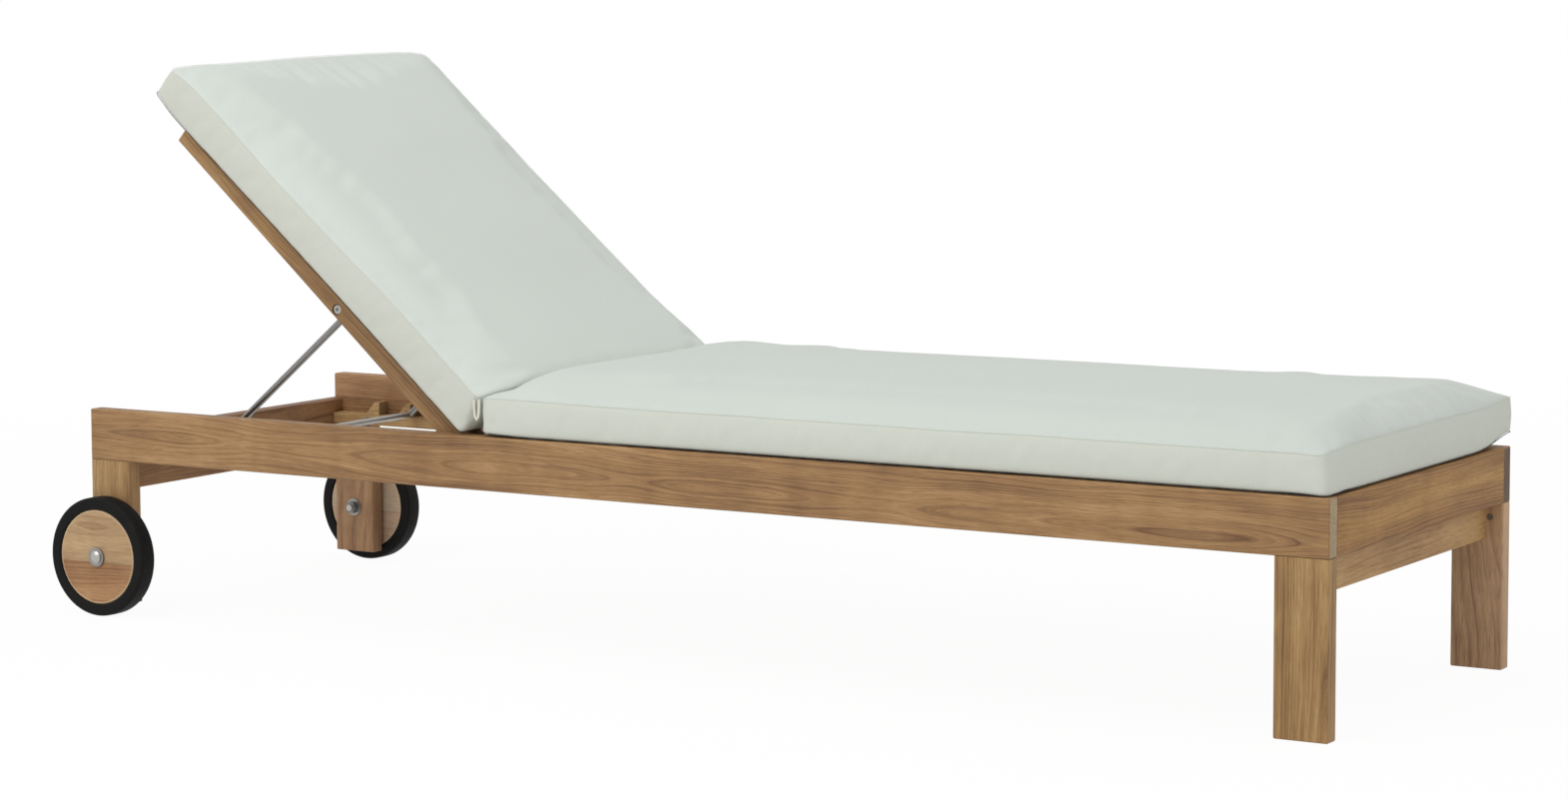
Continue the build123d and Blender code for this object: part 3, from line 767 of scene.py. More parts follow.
def apply_tree(piece, tree, **inputs):
    """Run a geometry node tree on a piece and turn the result into its plain mesh."""
    modifier = piece.modifiers.new("Nodes", "NODES")
    modifier.node_group = tree
    for item in tree.interface.items_tree:
        if item.item_type == "SOCKET" and item.in_out == "INPUT" and item.name in inputs:
            modifier[item.identifier] = inputs[item.name]
    result = evaluated_mesh(piece)
    piece.modifiers.remove(modifier)
    old = piece.data
    piece.data = result
    bpy.data.meshes.remove(old)
    return piece


def tree_with(name, sockets):
    """A geometry node tree with its named inputs, and its input node."""
    tree = bpy.data.node_groups.new(name, "GeometryNodeTree")
    tree.interface.new_socket("Geometry", in_out="INPUT", socket_type="NodeSocketGeometry")
    for label, kind, value in sockets:
        socket = tree.interface.new_socket(label, in_out="INPUT", socket_type=kind)
        if value is not None:
            socket.default_value = value
    tree.interface.new_socket("Geometry", in_out="OUTPUT", socket_type="NodeSocketGeometry")
    return tree, add_node(tree, "NodeGroupInput")


def end_tree(tree, geometry, material):
    """Realize the instances, set the material and send the geometry out."""
    plain = add_node(tree, "GeometryNodeRealizeInstances", {"Geometry": geometry})
    dressed = add_node(
        tree, "GeometryNodeSetMaterial", {"Geometry": plain, "Material": material})
    add_node(tree, "NodeGroupOutput", {0: dressed})
    return tree


def seam_tree():
    """A round sewn ridge along a loop of edges."""
    tree, given = tree_with("sewn_ridge", [
        ("Radius", "NodeSocketFloat", 1.2 * MM),
        ("Spacing", "NodeSocketFloat", 6 * MM),
        ("Material", "NodeSocketMaterial", None),
    ])
    path = add_node(tree, "GeometryNodeMeshToCurve", {"Mesh": given.outputs["Geometry"]})
    even = add_node(
        tree, "GeometryNodeResampleCurve", {"Curve": path, "Length": given.outputs["Spacing"]},
        mode="LENGTH",
    )
    section = add_node(
        tree, "GeometryNodeCurvePrimitiveCircle",
        {"Resolution": 8, "Radius": given.outputs["Radius"]},
    )
    ridge = add_node(
        tree, "GeometryNodeCurveToMesh", {"Curve": even, "Profile Curve": section})
    smooth = add_node(tree, "GeometryNodeSetShadeSmooth", {"Geometry": ridge})
    return end_tree(tree, smooth, given.outputs["Material"])


def stand_on_points(tree, given, shape):
    """Stand a shape on every point, along the point's facing, each turned further than the last."""
    number = add_node(tree, "GeometryNodeInputIndex")
    angle = add_node(tree, "Math", {0: number, 1: 2.4}, operation="MULTIPLY")
    spin = add_node(
        tree, "FunctionNodeAxisAngleToRotation", {"Axis": (0.0, 0.0, 1.0), "Angle": angle})
    facing = add_node(
        tree, "GeometryNodeInputNamedAttribute", {"Name": "facing"}, data_type="FLOAT_VECTOR")
    turn = add_node(
        tree, "FunctionNodeAlignRotationToVector",
        {"Rotation": spin, "Vector": facing.outputs["Attribute"]}, axis="Z",
    )
    return add_node(
        tree, "GeometryNodeInstanceOnPoints",
        {"Points": given.outputs["Geometry"], "Instance": shape, "Rotation": turn},
    )


def screw_tree():
    """Countersunk cross-recess screw heads on points."""
    tree, given = tree_with("screw_heads", [
        ("Head", "NodeSocketFloat", 8.5 * MM),
        ("Rise", "NodeSocketFloat", 0.25 * MM),
        ("Depth", "NodeSocketFloat", 1.2 * MM),
        ("Material", "NodeSocketMaterial", None),
    ])
    head, rise, depth = (given.outputs[label] for label in ("Head", "Rise", "Depth"))
    radius, long_side, short_side = (
        add_node(tree, "Math", {0: head, 1: share}, operation="MULTIPLY")
        for share in (0.5, 0.58, 0.14)
    )
    disc = add_node(
        tree, "GeometryNodeMeshCylinder", {"Vertices": 24, "Radius": radius, "Depth": depth})
    below = add_node(tree, "Math", {0: depth, 1: -0.5, 2: rise}, operation="MULTIPLY_ADD")
    down = add_node(tree, "CombineXYZ", {"Z": below})
    seated = add_node(tree, "GeometryNodeTransform", {"Geometry": disc, "Translation": down})
    cross = add_node(tree, "GeometryNodeMeshBoolean", operation="UNION", solver="EXACT")
    for first, second in ((long_side, short_side), (short_side, long_side)):
        size = add_node(tree, "CombineXYZ", {"X": first, "Y": second, "Z": depth})
        arm = add_node(tree, "GeometryNodeMeshCube", {"Size": size})
        set_inputs(tree, cross, {"Mesh 2": arm})
    cut = add_node(
        tree, "GeometryNodeMeshBoolean", {"Mesh 1": seated, "Mesh 2": cross},
        operation="DIFFERENCE", solver="EXACT",
    )
    return end_tree(tree, stand_on_points(tree, given, cut), given.outputs["Material"])


def thread_tree():
    """A rolled thread wound along the end of a bolt, on every point."""
    tree, given = tree_with("bolt_thread", [
        ("Pitch", "NodeSocketFloat", 1.5 * MM),
        ("Length", "NodeSocketFloat", 4 * MM),
        ("Radius", "NodeSocketFloat", 5 * MM),
        ("Material", "NodeSocketMaterial", None),
    ])
    pitch, length, radius = (given.outputs[label] for label in ("Pitch", "Length", "Radius"))
    turns = add_node(tree, "Math", {0: length, 1: pitch}, operation="DIVIDE")
    helix = add_node(
        tree, "GeometryNodeCurveSpiral",
        {"Resolution": 20, "Rotations": turns, "Start Radius": radius, "End Radius": radius,
         "Height": length},
    )
    ridge = add_node(tree, "Math", {0: pitch, 1: 0.28}, operation="MULTIPLY")
    section = add_node(
        tree, "GeometryNodeCurvePrimitiveCircle", {"Resolution": 6, "Radius": ridge})
    wound = add_node(
        tree, "GeometryNodeCurveToMesh",
        {"Curve": helix, "Profile Curve": section, "Fill Caps": True},
    )
    return end_tree(tree, stand_on_points(tree, given, wound), given.outputs["Material"])


def on_points(name, tree, places, body, slot, **inputs):
    """Run a tree on (place, facing) points and put the result on its body."""
    mesh = bpy.data.meshes.new(name)
    mesh.from_pydata([tuple(place) for place, facing in places], [], [])
    layer = mesh.attributes.new("facing", "FLOAT_VECTOR", "POINT")
    layer.data.foreach_set("vector", [value for place, facing in places for value in facing])
    piece = apply_tree(in_scene(name, mesh), tree, **inputs)
    piece.data.name = name
    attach(piece, body)
    return piece


def bolt_end(bolts, nuts, side):
    """Where a bolt leaves its nut towards the middle, how far it stands out, and its radius."""
    def inner(node):
        matrix = frame["nodes"][node].matrix_world
        places = [matrix @ vertex.co for vertex in frame["nodes"][node].data.vertices]
        places = [place for place in places if place.y * side > 0]
        nearest = min(abs(place.y) for place in places)
        return nearest, [place for place in places if abs(place.y) < nearest + 0.1 * MM]

    tip, rim = inner(bolts)
    seat = inner(nuts)[0]
    centre = sum(rim, Vector()) / len(rim)
    radius = max(math.hypot(place.x - centre.x, place.z - centre.z) for place in rim)
    return Vector((centre.x, side * seat, centre.z)), seat - tip, radius


def sew(name, points, radius, material, body, closed=True):
    """Sewn ridge along a path of points."""
    mesh = bpy.data.meshes.new(name)
    count = len(points)
    edges = [(i, (i + 1) % count) for i in range(count if closed else count - 1)]
    mesh.from_pydata([tuple(point) for point in points], edges, [])
    piece = in_scene(name, mesh)
    apply_tree(piece, seam_tree(), Radius=radius, Spacing=6 * MM, Material=material)
    piece.data.name = name
    if body:
        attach(piece, body)
    return piece


# Operators
class CHAISE_OT_camera(bpy.types.Operator):
    """Put the camera where the photograph was taken from."""
    bl_idname = "chaise.camera"
    bl_label = "Camera"

    def execute(self, context):
        data = bpy.data.cameras.new("camera")
        data.sensor_width = 36.0
        data.lens = context.scene.chaise_stage.focal_length
        data.shift_x, data.shift_y = CAMERA_SHIFT
        data.clip_end = 200.0
        camera = in_scene("camera", data)
        turn = Matrix((CAMERA_RIGHT, -CAMERA_DOWN, -CAMERA_AHEAD)).transposed().to_4x4()
        camera.matrix_world = Matrix.Translation(CAMERA_PLACE) @ turn
        context.scene.camera = camera
        return {"FINISHED"}


class CHAISE_OT_stage(bpy.types.Operator):
    """Lay a pale floor and light the chaise softly."""
    bl_idname = "chaise.stage"
    bl_label = "Stage and light"

    def execute(self, context):
        stage = context.scene.chaise_stage
        context.scene.view_settings.view_transform = "Standard"
        mesh = bpy.data.meshes.new("studio_floor")
        form = bmesh.new()
        bmesh.ops.create_grid(form, x_segments=8, y_segments=8, size=30.0)
        form.to_mesh(mesh)
        form.free()
        floor = in_scene("studio_floor", mesh)
        floor.location.z = -0.2 * MM
        material, tree, shader, place = new_material("studio_paint")
        cloud = add_node(tree, "TexNoise", {"Vector": place.outputs["Object"], "Scale": 0.8})
        low = tuple(channel * 0.99 for channel in stage.floor[:3]) + (1.0,)
        colour = add_node(
            tree, "ValToRGB", {"Fac": cloud}, stops=[(0.3, low), (0.7, tuple(stage.floor))])
        set_inputs(tree, shader, {"Base Color": colour, "Roughness": 0.9})
        # Plain white to the camera, fully so away from the chaise, where no shadow falls
        away = add_node(tree, "VectorMath", {0: place.outputs["Object"]}, operation="LENGTH")
        clear = add_node(
            tree, "MapRange",
            {"Value": away.outputs["Value"], "From Min": 1.6, "From Max": 4.5,
             "To Min": stage.clearing, "To Max": 1.0},
            interpolation_type="SMOOTHSTEP",
        )
        share = add_node(
            tree, "Math", {0: camera_or_mirror(tree), 1: clear}, operation="MULTIPLY")
        white = add_node(tree, "Emission", {"Color": linear("#FFFFFF"), "Strength": 1.0})
        both = add_node(tree, "MixShader", {"Fac": share, 1: shader, 2: white})
        out = next(node for node in tree.nodes if node.type == "OUTPUT_MATERIAL")
        set_inputs(tree, out, {"Surface": both})
        mesh.materials.append(material)

        world = bpy.data.worlds.new("studio")
        context.scene.world = world
        world.use_nodes = True
        tree = world.node_tree
        tree.nodes.clear()
        ambient = add_node(
            tree, "Background", {"Color": linear("#FFFEFC"), "Strength": stage.ambient})
        backdrop = add_node(tree, "Background", {"Color": linear("#FFFFFF"), "Strength": 1.0})
        both = add_node(
            tree, "MixShader", {"Fac": camera_or_mirror(tree), 1: ambient, 2: backdrop})
        add_node(tree, "OutputWorld", {"Surface": both})

        def softbox(name, power, size, where, at):
            data = bpy.data.lights.new(name, "AREA")
            data.energy = power
            data.shape = "RECTANGLE"
            data.size, data.size_y = size
            toward = (Vector(at) - Vector(where)).to_track_quat("-Z", "Y")
            lamp = in_scene(name, data)
            lamp.matrix_world = Matrix.Translation(where) @ toward.to_matrix().to_4x4()

        softbox("key_softbox", stage.key, (3.6, 2.4), (-1.2, -3.2, 3.6), (0.0, 0.0, 0.3))
        softbox("fill_softbox", stage.fill, (3.0, 2.4), (2.2, -0.9, 3.9), (-0.2, 0.0, 0.4))
        return {"FINISHED"}


class CHAISE_OT_teak(bpy.types.Operator):
    """Dress every teak board with grain along its length."""
    bl_idname = "chaise.teak"
    bl_label = "Teak boards"

    def execute(self, context):
        # node: (grain, seed, tone, warmth, richness)
        boards = {
            "side_rail_right": ("X", 1.0, 0.03, 0.000, 1.0),
            "side_rail_left": ("X", 2.2, -0.09, -0.010, 1.0),
            "foot_end_rail": ("Y", 3.1, 0.00, 0.001, 1.14),
            "foot_stretcher": ("Y", 4.4, -0.25, 0.000, 1.06),
            "head_cross_board": ("Y", 5.3, 0.12, -0.006, 1.0),
            "head_leg_right": ("Z", 6.2, -0.04, 0.004, 1.0),
            "head_leg_left": ("Z", 7.5, -0.04, -0.006, 0.94),
            "foot_leg_right": ("Z", 8.195, -0.07, 0.006, 1.02),
            "foot_leg_left": ("Z", 9.7, -0.32, -0.006, 0.90),
            "back_ledger_right": ("X", 10.3, 0.06, 0.0, 1.0),
            "back_ledger_left": ("X", 11.6, 0.04, -0.003, 1.0),
            "seat_ledger_right": ("X", 12.2, 0.04, 0.0, 1.0),
            "seat_ledger_left": ("X", 13.9, 0.04, 0.0, 1.0),
            "rack_right": ("X", 14.1, -0.10, 0.006, 1.0),
            "rack_left": ("X", 15.8, -0.34, 0.004, 1.0),
            "back_stile_right": ("BACK", 16.3, 0.04, 0.004, 1.0),
            "back_stile_left": ("BACK", 17.7, 0.04, 0.002, 1.0),
            "back_top_rail": ("Y", 18.4, 0.02, 0.0, 1.0),
            "back_bottom_rail": ("Y", 19.9, 0.03, 0.0, 1.0),
        }
        for number, name in enumerate(SLAT_NAMES):
            tone = 0.03 * math.sin(2.1 * number)
            boards[name] = ("Y", 21.3 + 1.71 * number, tone, 0.0, 1.0)
        for number, name in enumerate(BACK_SLAT_NAMES):
            tone = 0.03 * math.cos(1.7 * number)
            boards[name] = ("Y", 51.7 + 1.37 * number, tone, 0.0, 1.0)
        # What sets a board apart: how bright its cut ends are, and how far its rings wander
        special = {
            "side_rail_left": {"end_shade": 0.12},
            "side_rail_right": {"end_shade": 1.4},
            "foot_leg_right": {"arch": 0.022},
        }
        for name, (grain, *look) in boards.items():
            wood = teak("teak_" + name, grain, middle_of(name), *look, **special.get(name, {}))
            dress(name, wood)
        return {"FINISHED"}


def disc_teak(name, middle, radius, seed, tone, richness, lower_value):
    """Teak of a wheel: two edge-glued boards with level grain, and a pale rim that is a painted
    highlight along the disc's edge.
    """
    wood = bpy.context.scene.chaise_teak
    joint_height = -9.0 * MM
    material = teak(name, "X", middle, seed, tone, 0.004, richness, figure_depth=0.30)
    tree = material.node_tree
    shader = next(node for node in tree.nodes if node.type == "BSDF_PRINCIPLED")
    boards = shader.inputs["Base Color"].links[0].from_socket
    place = add_node(tree, "TexCoord")
    centred = add_node(
        tree, "Mapping", {"Vector": place.outputs["Object"], "Location": tuple(-middle)})
    height = add_node(tree, "SeparateXYZ", {"Vector": centred}).outputs["Z"]
    below = add_node(tree, "Math", {0: height, 1: joint_height}, operation="LESS_THAN")
    darker = add_node(
        tree, "HueSaturation",
        {"Color": boards, "Hue": 0.486, "Saturation": 1.14, "Value": lower_value},
    )
    lower = add_node(
        tree, "Mix", {"Factor": below, "A": boards, "B": darker}, data_type="RGBA")
    offset = add_node(tree, "Math", {0: height, 1: joint_height}, operation="SUBTRACT")
    distance = add_node(tree, "Math", {0: offset}, operation="ABSOLUTE")
    glue = add_node(
        tree, "MapRange",
        {"Value": distance, "From Min": 0.15 * MM, "From Max": 0.7 * MM, "To Min": 0.55,
         "To Max": 0.0},
    )
    lined = add_node(
        tree, "Mix", {"Factor": glue, "A": lower, "B": tuple(wood.dark)}, data_type="RGBA")
    # A pale ring just inside the edge: painted highlight along the disc's edge
    from_axle = add_node(tree, "VectorMath", {0: centred}, operation="LENGTH")
    rim = add_node(
        tree, "MapRange",
        {"Value": from_axle.outputs["Value"], "From Min": radius - 2.4 * MM,
         "From Max": radius - 1.2 * MM, "To Max": 0.65},
    )
    highlight_rimmed = add_node(
        tree, "Mix", {"Factor": rim, "A": lined, "B": tuple(wood.rim)}, data_type="RGBA")
    set_inputs(tree, shader, {"Base Color": highlight_rimmed})
    return material


def tyre_section(inner, outer, half):
    """Closed (radius, width) section of a tyre, with round shoulders and a parting line."""
    shoulder = 4.6 * MM
    points = [
        (inner, -half + 1.5 * MM), (inner + 1.2 * MM, -half + 0.3 * MM),
        (inner + 4 * MM, -half), (outer - shoulder, -half),
    ]
    for step in range(1, 8):
        angle = math.pi / 2 * step / 8
        points.append((
            outer - shoulder + shoulder * math.sin(angle) - 0.2 * MM,
            -half + shoulder - shoulder * math.cos(angle),
        ))
    points += [(outer - 0.2 * MM, -half + shoulder), (outer - 0.15 * MM, -half * 0.3)]
    points += [(outer - 0.1 * MM, -0.7 * MM), (outer, -0.35 * MM)]
    return points + [(radius, -width) for radius, width in reversed(points)]


def lathe(name, section, centre, count):
    """Turn a closed (radius, width) section about the Y axis through a point."""
    verts = []
    for turn in range(count):
        angle = 2 * math.pi * turn / count
        for radius, width in section:
            verts.append((
                centre.x + radius * math.cos(angle), centre.y + width,
                centre.z + radius * math.sin(angle),
            ))
    rows = len(section)
    faces = []
    for turn in range(count):
        here = turn * rows
        after = (turn + 1) % count * rows
        for row in range(rows):
            above = (row + 1) % rows
            faces.append((here + row, here + above, after + above, after + row))
    mesh = bpy.data.meshes.new(name)
    mesh.from_pydata(verts, [], faces)
    shade_smooth(mesh)
    form = bmesh.new()
    form.from_mesh(mesh)
    bmesh.ops.recalc_face_normals(form, faces=form.faces)
    form.to_mesh(mesh)
    form.free()
    return mesh


class CHAISE_OT_wheels(bpy.types.Operator):
    """Dress the teak discs and nylon bushes, and mould the rubber tyres."""
    bl_idname = "chaise.wheels"
    bl_label = "Wheels"

    def execute(self, context):
        rubber = moulded_rubber("moulded_black_rubber")
        bush = nylon("turned_nylon")
        # side, then seed, tone, richness and brightness of the lower board
        for side, *look in (("right", 2.4, -0.15, 0.90, 0.92), ("left", 3.7, -0.42, 0.62, 0.98)):
            disc = "wheel_disc_" + side
            low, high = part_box("tyre_" + side)
            disc_low, disc_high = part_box(disc)
            radius = (disc_high.x - disc_low.x) / 2
            dress(disc, disc_teak("teak_" + disc, middle_of(disc), radius, *look))
            section = tyre_section(radius, (high.x - low.x) / 2, (high.y - low.y) / 2)
            name = "moulded_tyre_" + side
            mesh = lathe(name, section, (low + high) / 2, 128)
            tyre = finished_mesh(name, mesh, [rubber], "wheel_" + side)
            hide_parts("tyre_" + side)
            dress("hub_bush_" + side, bush)
        dress("hinge_bushes", bush)
        return {"FINISHED"}


class CHAISE_OT_hardware(bpy.types.Operator):
    """Dress the stainless prop, bolts, nuts and washers."""
    bl_idname = "chaise.hardware"
    bl_label = "Prop and bolts"

    def execute(self, context):
        crossbar = middle_of("prop_crossbar")
        pivot = joint_place("prop_swing")
        slope = math.atan2(pivot.z - crossbar.z, crossbar.x - pivot.x)
        level, arm = (0.0, 0.0, 0.0), (0.0, -slope, 0.0)
        # finish: (streak, shade, turn, nodes); shade is painted shade that darkens the same steel,
        # most on the nuts, washers and arms, for darker reflections
        finishes = {
            "turned_stainless_steel": (
                (500.0, 120.0, 500.0), 0.86, level,
                ("hinge_bolts", "prop_bolts", "axle_bolts", "leg_studs")),
            "stamped_stainless_painted_shade": (
                (300.0, 300.0, 300.0), 0.60, level, ("hinge_washers", "axle_washers")),
            "forged_stainless_painted_shade": (
                (300.0, 300.0, 300.0), 0.40, level,
                ("prop_nuts", "axle_nuts", "leg_barrel_nuts")),
            "drawn_stainless_bar": ((900.0, 30.0, 900.0), 0.72, level, ("prop_crossbar",)),
            "drawn_stainless_arm_painted_shade": (
                (30.0, 900.0, 900.0), 0.50, arm, ("prop_arm_left", "prop_arm_right")),
        }
        for finish, (streak, shade, turn, nodes) in finishes.items():
            steel = brushed_stainless(finish, streak, shade, turn)
            for node in nodes:
                dress(node, steel)
        return {"FINISHED"}


class CHAISE_OT_screws(bpy.types.Operator):
    """Drive the screws of the slats, ledgers and racks, and thread the bolt ends."""
    bl_idname = "chaise.screws"
    bl_label = "Screws and threads"

    def execute(self, context):
        hardware = context.scene.chaise_hardware
        steel = brushed_stainless("cold_rolled_stainless_steel", (500.0, 500.0, 500.0))
        up = Vector((0.0, 0.0, 1.0))
        inset = 10 * MM
        places = []
        for name in SLAT_NAMES:
            low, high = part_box(name)
            from_edge = 0.24 * (high.x - low.x)
            for x in (low.x + from_edge, high.x - from_edge):
                for y in (low.y + inset, high.y - inset):
                    places.append((Vector((x, y, high.z)), up))
        for side in ("right", "left"):
            for node, count, height in (("seat_ledger_", 8, 0.5), ("rack_", 2, 0.24)):
                low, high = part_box(node + side)
                inner = high.y if high.y < 0 else low.y
                facing = Vector((0.0, -math.copysign(1.0, inner), 0.0))
                for number in range(count):
                    x = low.x + (high.x - low.x) * (number + 0.4) / count
                    z = low.z + height * (high.z - low.z)
                    places.append((Vector((x, inner, z)), facing))
        on_points(
            "frame_screws", screw_tree(), places, "frame", "stainless_steel",
            Head=hardware.screw_head, Rise=hardware.screw_rise, Material=steel,
        )
        for bolts, nuts, body in (
            ("axle_bolts", "axle_nuts", "frame"), ("prop_bolts", "prop_nuts", "backrest"),
        ):
            ends = [bolt_end(bolts, nuts, side) for side in (-1, 1)]
            length, radius = ends[0][1:]
            places = [
                (end[0], Vector((0.0, -math.copysign(1.0, end[0].y), 0.0))) for end in ends]
            on_points(
                "thread_of_" + bolts, thread_tree(), places, body, "stainless_steel",
                Pitch=hardware.thread_pitch * radius / (5 * MM), Length=length - 0.6 * MM,
                Radius=radius - 0.25 * MM, Material=steel,
            )
        return {"FINISHED"}


class CHAISE_OT_seat_pad(bpy.types.Operator):
    """Make the seat pad: boxed, crowned, swollen by its filling and sewn along two seams."""
    bl_idname = "chaise.seat_pad"
    bl_label = "Seat pad"

    def execute(self, context):
        pad = context.scene.chaise_pad
        low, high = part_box("seat_cushion")
        head_reach = 8 * MM
        end_room = 1.5 * MM
        half_x = (high.x - low.x + head_reach) / 2 - end_room
        half_y = HALF_WIDTH - pad.bulge
        middle_x = (low.x - head_reach + high.x) / 2
        fold_places = (-0.20, -0.15, -0.10, -0.04, 0.01, 0.06, 0.13)
        fold_width = 5 * MM
        fold_height = 6.2 * MM

        def far_corner(x, y, spread):
            return bell(math.hypot(x - half_x, y - half_y), spread)

        def near_corner(x, y, end, spread):
            """end is 1 at the foot and -1 at the head."""
            return bell(math.hypot(x - end * half_x, y + half_y), spread)

        def plan_shift(x, y):
            """The far foot corner sticks out, and the back pad presses the head end in.

            The near corner of the head end stays out.
            """
            ear = far_corner(x, y, 55 * MM)
            away = 1 - bell(y + half_y, 32 * MM)
            pressed = 18 * MM * away * fade(x + half_x, 120 * MM)
            return 5 * MM * ear + pressed, 8 * MM * ear

        def low_rise(x, y):
            """The far foot corner stands a little off the frame; the near one hangs down."""
            return 17 * MM * far_corner(x, y, 62 * MM) - 1.2 * MM * near_corner(x, y, 1, 50 * MM)

        def top_rise(x, y):
            """The foot end is fuller than the sides; the head end follows the crease."""
            wave = 1.2 * MM * noise.noise(Vector((x * 9, y * 9, 3.0)))
            end = max(0.0, 1 - (half_x - x) / (60 * MM))
            full = 8 * MM * end * (1 - (y / half_y) ** 6)
            corner = 14 * MM * far_corner(x, y, 50 * MM)
            evened = 7 * MM * bell(y + 255 * MM, 60 * MM) - 4 * MM * bell(y + 60 * MM, 90 * MM)
            evened *= fade(x + half_x, 90 * MM)
            return full + corner + evened + wave

        def crown(x, y):
            """The filling lies thicker towards the far side, and thinner near the corners."""
            from_end = half_x - abs(x)
            corner = bell(from_end - 155 * MM, 75 * MM) * (y / half_y) ** 4
            return pad.crown + 7 * MM * (0.5 + 0.5 * y / half_y) - 11 * MM * corner

        def shape(point):
            """Draw in the near corners, gather the cloth there and lay folds off the foot seam."""
            x, y, z = point
            high = min(1.0, max(0.0, (z - 6 * MM) / pad.band))
            drawn = near_corner(x, y, 1, 42 * MM) * high
            head = near_corner(x, y, -1, 20 * MM)
            gather = noise.noise(Vector((x * 95, y * 95, z * 40))) * min(1.0, z / (12 * MM)) * MM
            x += (2.4 * gather - 8 * MM) * drawn - 0.5 * MM * head
            y += (3 * MM - 2.4 * gather) * drawn + 2 * MM * head
            z -= 1.5 * MM * drawn + 3 * MM * head * high - 2 * MM * head * (1 - high)
            if z > pad.band:
                for number, place in enumerate(fold_places):
                    start = (half_x + 2 * MM, place)
                    end = (half_x - (46 + 18 * math.sin(2.3 * number)) * MM,
                           place - (16 + 12 * math.cos(1.7 * number)) * MM)
                    z += fold(x, y, start, end, fold_width, fold_height)
            return Vector((x, y, z))

        reaches = (125 * MM, 70 * MM, 105 * MM, pad.crown_reach)
        form = pad_form(
            half_x, half_y, pad.band, crown, reaches, 0.45, plan_shift, low_rise, top_rise)
        place = Matrix.Translation((middle_x, 0.0, low.z))
        mesh, seams = make_pad("seat_pad", place, form, 4.0, shape)
        top = canvas("outdoor_canvas", pad.cloth)
        # The boxing band gets a warmer copy of the canvas: painted bounce light from the wood and
        # floor
        side = canvas("outdoor_canvas_boxing", pad.boxing_painted_bounce)
        thread = canvas("canvas_seam", pad.thread)
        shadow_tape = shadow_line_tape("shadow_line_tape", pad.shadow_tape)
        piece = finished_mesh("seat_pad", mesh, [top, side], "frame")
        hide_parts("seat_cushion")
        # The lower seam is sewn in the near-black tape colour, as painted shade for the shadow line
        # under the pad
        sew("seat_pad_seam_lower", seams[0], pad.welt, shadow_tape, "frame")
        sew("seat_pad_seam_upper", seams[1], 0.6 * pad.welt, thread, "frame")
        return {"FINISHED"}


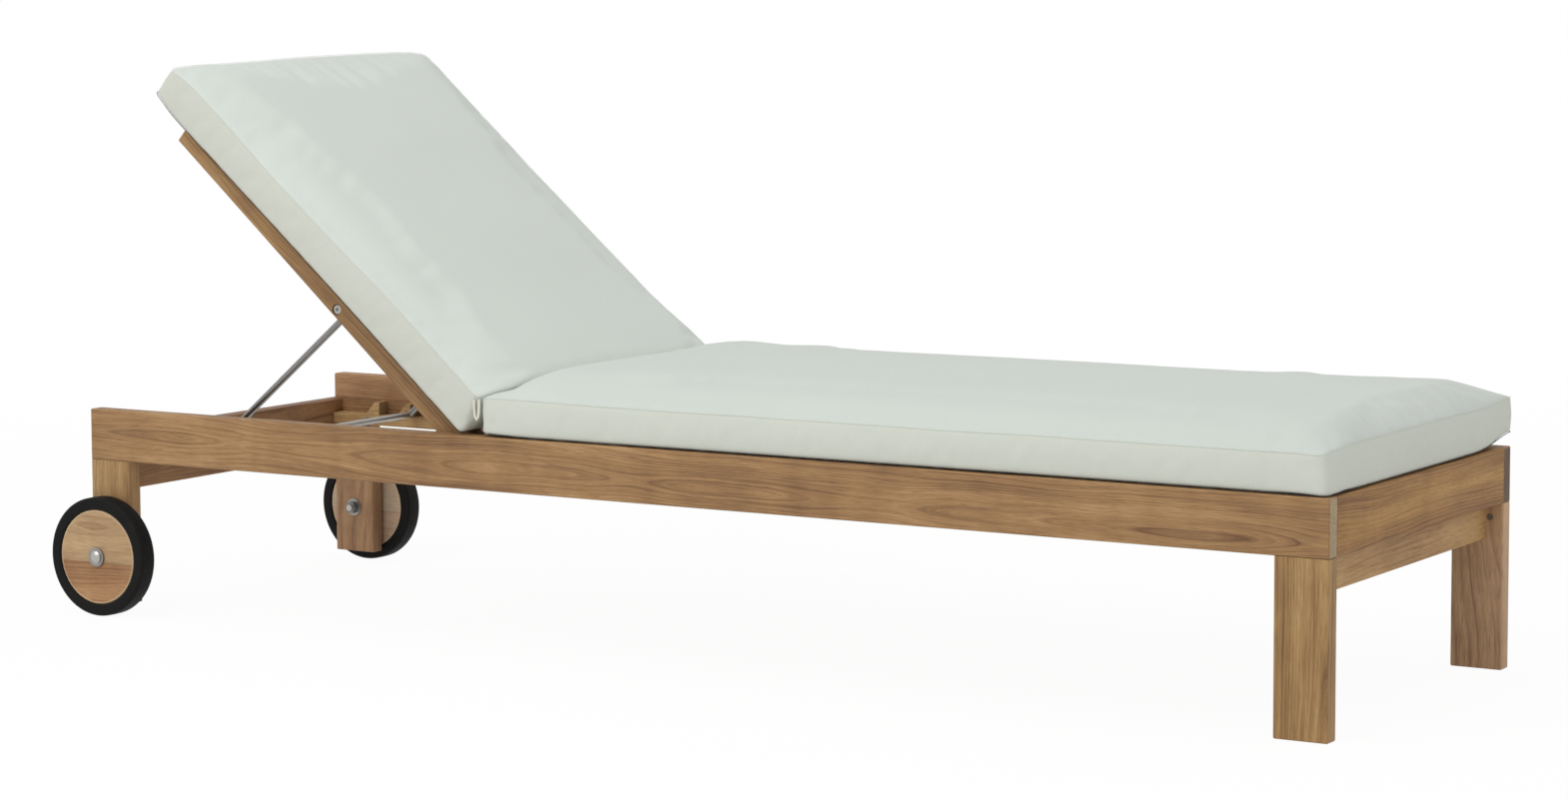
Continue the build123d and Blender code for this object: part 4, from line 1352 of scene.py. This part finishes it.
class CHAISE_OT_back_pad(bpy.types.Operator):
    """Make the back pad, whose lower end is folded against the seat pad."""
    bl_idname = "chaise.back_pad"
    bl_label = "Back pad"

    def execute(self, context):
        pad = context.scene.chaise_pad
        start = 3 * MM
        end = 731 * MM
        half_x = (end - start) / 2
        half_y = HALF_WIDTH - pad.bulge
        slat_gap = 0.4 * MM
        heel = 15 * MM

        def head_corner(x, y, spread):
            return bell(math.hypot(x + half_x, abs(y) - half_y), spread)

        def plan_shift(x, y):
            """The head corners stand out a little."""
            ear = head_corner(x, y, 32 * MM)
            return -3 * MM * ear, math.copysign(2 * MM * ear, y)

        def low_rise(x, y):
            """Beside the stiles the pad hangs down a little, towards the head."""
            side = soft_step((abs(y) - 270 * MM) / (33 * MM))
            from_head = x + half_x
            return -6.5 * MM * side * (bell(from_head, 330 * MM) - bell(from_head, 34 * MM))

        def top_rise(x, y):
            """The head corners are drawn down, the near side sags, and a fold runs off its seam."""
            wave = 1.2 * MM * noise.noise(Vector((x * 9, y * 9, 8.0)))
            crease = fold(
                x, y, (-212 * MM, -half_y + 3 * MM), (-196 * MM, -half_y + 80 * MM),
                5 * MM, 3.2 * MM,
            )
            low_side = bell(y + 0.7 * half_y, 190 * MM) * fade(x + half_x, 90 * MM)
            head = -3 * MM * head_corner(x, y, 30 * MM) - 12 * MM * low_side
            lower_end = max(0.0, 1 - (half_x - x) / (450 * MM))
            far_side = 5 * MM * max(0.0, y / half_y) * lower_end
            sag = -9 * MM * bell(x + half_x - 260 * MM, 190 * MM) * fade(y + half_y, 60 * MM)
            return wave + crease + head + far_side + sag

        def crown(x, y):
            """The filling is pushed towards the lower end, and thins out towards the head."""
            from_end = half_x - x
            pushed = 5 * MM * bell(from_end, 130 * MM)
            pushed += 4 * MM * max(0.0, 1 - from_end / (500 * MM))
            return pad.back_crown + pushed - 45 * MM * max(0.0, from_end - 500 * MM)

        def shape(point):
            """Round the heel and lean the lower end back, as it is pressed by the seat pad."""
            x, y, z = point
            from_end = half_x - x
            if z < heel and from_end < heel:
                across = x - (half_x - heel)
                down = heel - z
                reach = math.hypot(across, down)
                if reach > heel:
                    x = half_x - heel + across * heel / reach
                    z = heel - down * heel / reach
            x += 5 * MM * head_corner(x, y, 40 * MM)
            near_low = bell(math.hypot(x - half_x, y + half_y), 38 * MM) * min(1.0, z / (10 * MM))
            gather = noise.noise(Vector((x * 110, y * 110, z * 60))) * 2.6 * MM
            gather *= max(0.0, near_low)
            x += gather
            y += 0.5 * gather
            lean = max(0.0, z - 18 * MM) * (0.03 + 0.21 * bell(y + half_y, 26 * MM))
            x -= lean * max(0.0, 1.0 - from_end / (160 * MM))
            return Vector((x, y, z))

        reaches = (pad.crown_reach, 0.0, 130 * MM, pad.crown_reach)
        form = pad_form(
            half_x, half_y, pad.back_band, crown, reaches, 0.0, plan_shift, low_rise, top_rise)
        base = RAIL_TOP - HINGE.z + slat_gap
        lie = Matrix.Translation((HINGE.x - (start + end) / 2, 0.0, HINGE.z + base))
        lean_back = Matrix.Rotation(RECLINE, 4, "Y")
        turn = Matrix.Translation(HINGE) @ lean_back @ Matrix.Translation(-HINGE)
        mesh, seams = make_pad("back_pad", turn @ lie, form, 2.5, shape)
        # The back pad's canvas is a lighter copy of the seat canvas: painted light
        top = canvas("outdoor_canvas_back", pad.back_canvas_painted_light)
        # The back pad's boxing is a darker, warmer copy of the canvas: painted shade
        side = canvas("outdoor_canvas_back_boxing", pad.back_boxing_painted_shade)
        thread = canvas("canvas_seam_back", pad.thread)
        # The tape is near black: painted shade for the shadow line under the back pad's lower seam
        shadow_tape = shadow_line_tape("shadow_line_tape_back", pad.shadow_tape)
        webbing = canvas("cotton_loop", pad.loop)
        piece = finished_mesh("back_pad", mesh, [top, side], None)
        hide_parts("back_cushion")

        # The small loop hangs at the near end of the crease
        loop = []
        for step in range(15):
            angle = math.pi * (step / 14)
            across = 4.2 * MM * math.cos(angle)
            drop = 29 * MM * math.sin(angle) ** 0.7
            loop.append(Vector((-264.5 * MM - across, -304.5 * MM, 358 * MM - drop)))
        follows = (
            piece,
            sew("back_pad_seam_lower", seams[0], pad.welt, shadow_tape, None),
            sew("back_pad_seam_upper", seams[1], 0.6 * pad.welt, thread, None),
            sew("back_pad_loop", loop, 1.9 * MM, webbing, None, closed=False),
        )
        for part in follows:
            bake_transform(part)
        return {"FINISHED"}


STEPS = (
    CHAISE_OT_camera,
    CHAISE_OT_stage,
    CHAISE_OT_teak,
    CHAISE_OT_wheels,
    CHAISE_OT_hardware,
    CHAISE_OT_screws,
    CHAISE_OT_seat_pad,
    CHAISE_OT_back_pad,
)

SETTINGS = {
    "chaise_teak": TeakSettings,
    "chaise_pad": PadSettings,
    "chaise_hardware": HardwareSettings,
    "chaise_stage": StageSettings,
}


class CHAISE_PT_panel(bpy.types.Panel):
    """Sizes, colours and steps of the chaise."""
    bl_label = "Teak chaise"
    bl_idname = "CHAISE_PT_panel"
    bl_space_type = "VIEW_3D"
    bl_region_type = "UI"
    bl_category = "Chaise"

    def draw(self, context):
        for name, group in SETTINGS.items():
            box = self.layout.box()
            for setting in group.__annotations__:
                box.prop(getattr(context.scene, name), setting)
        for step in STEPS:
            self.layout.operator(step.bl_idname)


def register():
    for name, group in SETTINGS.items():
        bpy.utils.register_class(group)
        setattr(bpy.types.Scene, name, PointerProperty(type=group))
    for step in STEPS:
        bpy.utils.register_class(step)
    bpy.utils.register_class(CHAISE_PT_panel)


def unregister():
    bpy.utils.unregister_class(CHAISE_PT_panel)
    for step in reversed(STEPS):
        bpy.utils.unregister_class(step)
    for name, group in SETTINGS.items():
        delattr(bpy.types.Scene, name)
        bpy.utils.unregister_class(group)


def main():
    register()
    for step in STEPS:
        group, name = step.bl_idname.split(".")
        getattr(getattr(bpy.ops, group), name)()


if __name__ == "__main__":
    main()
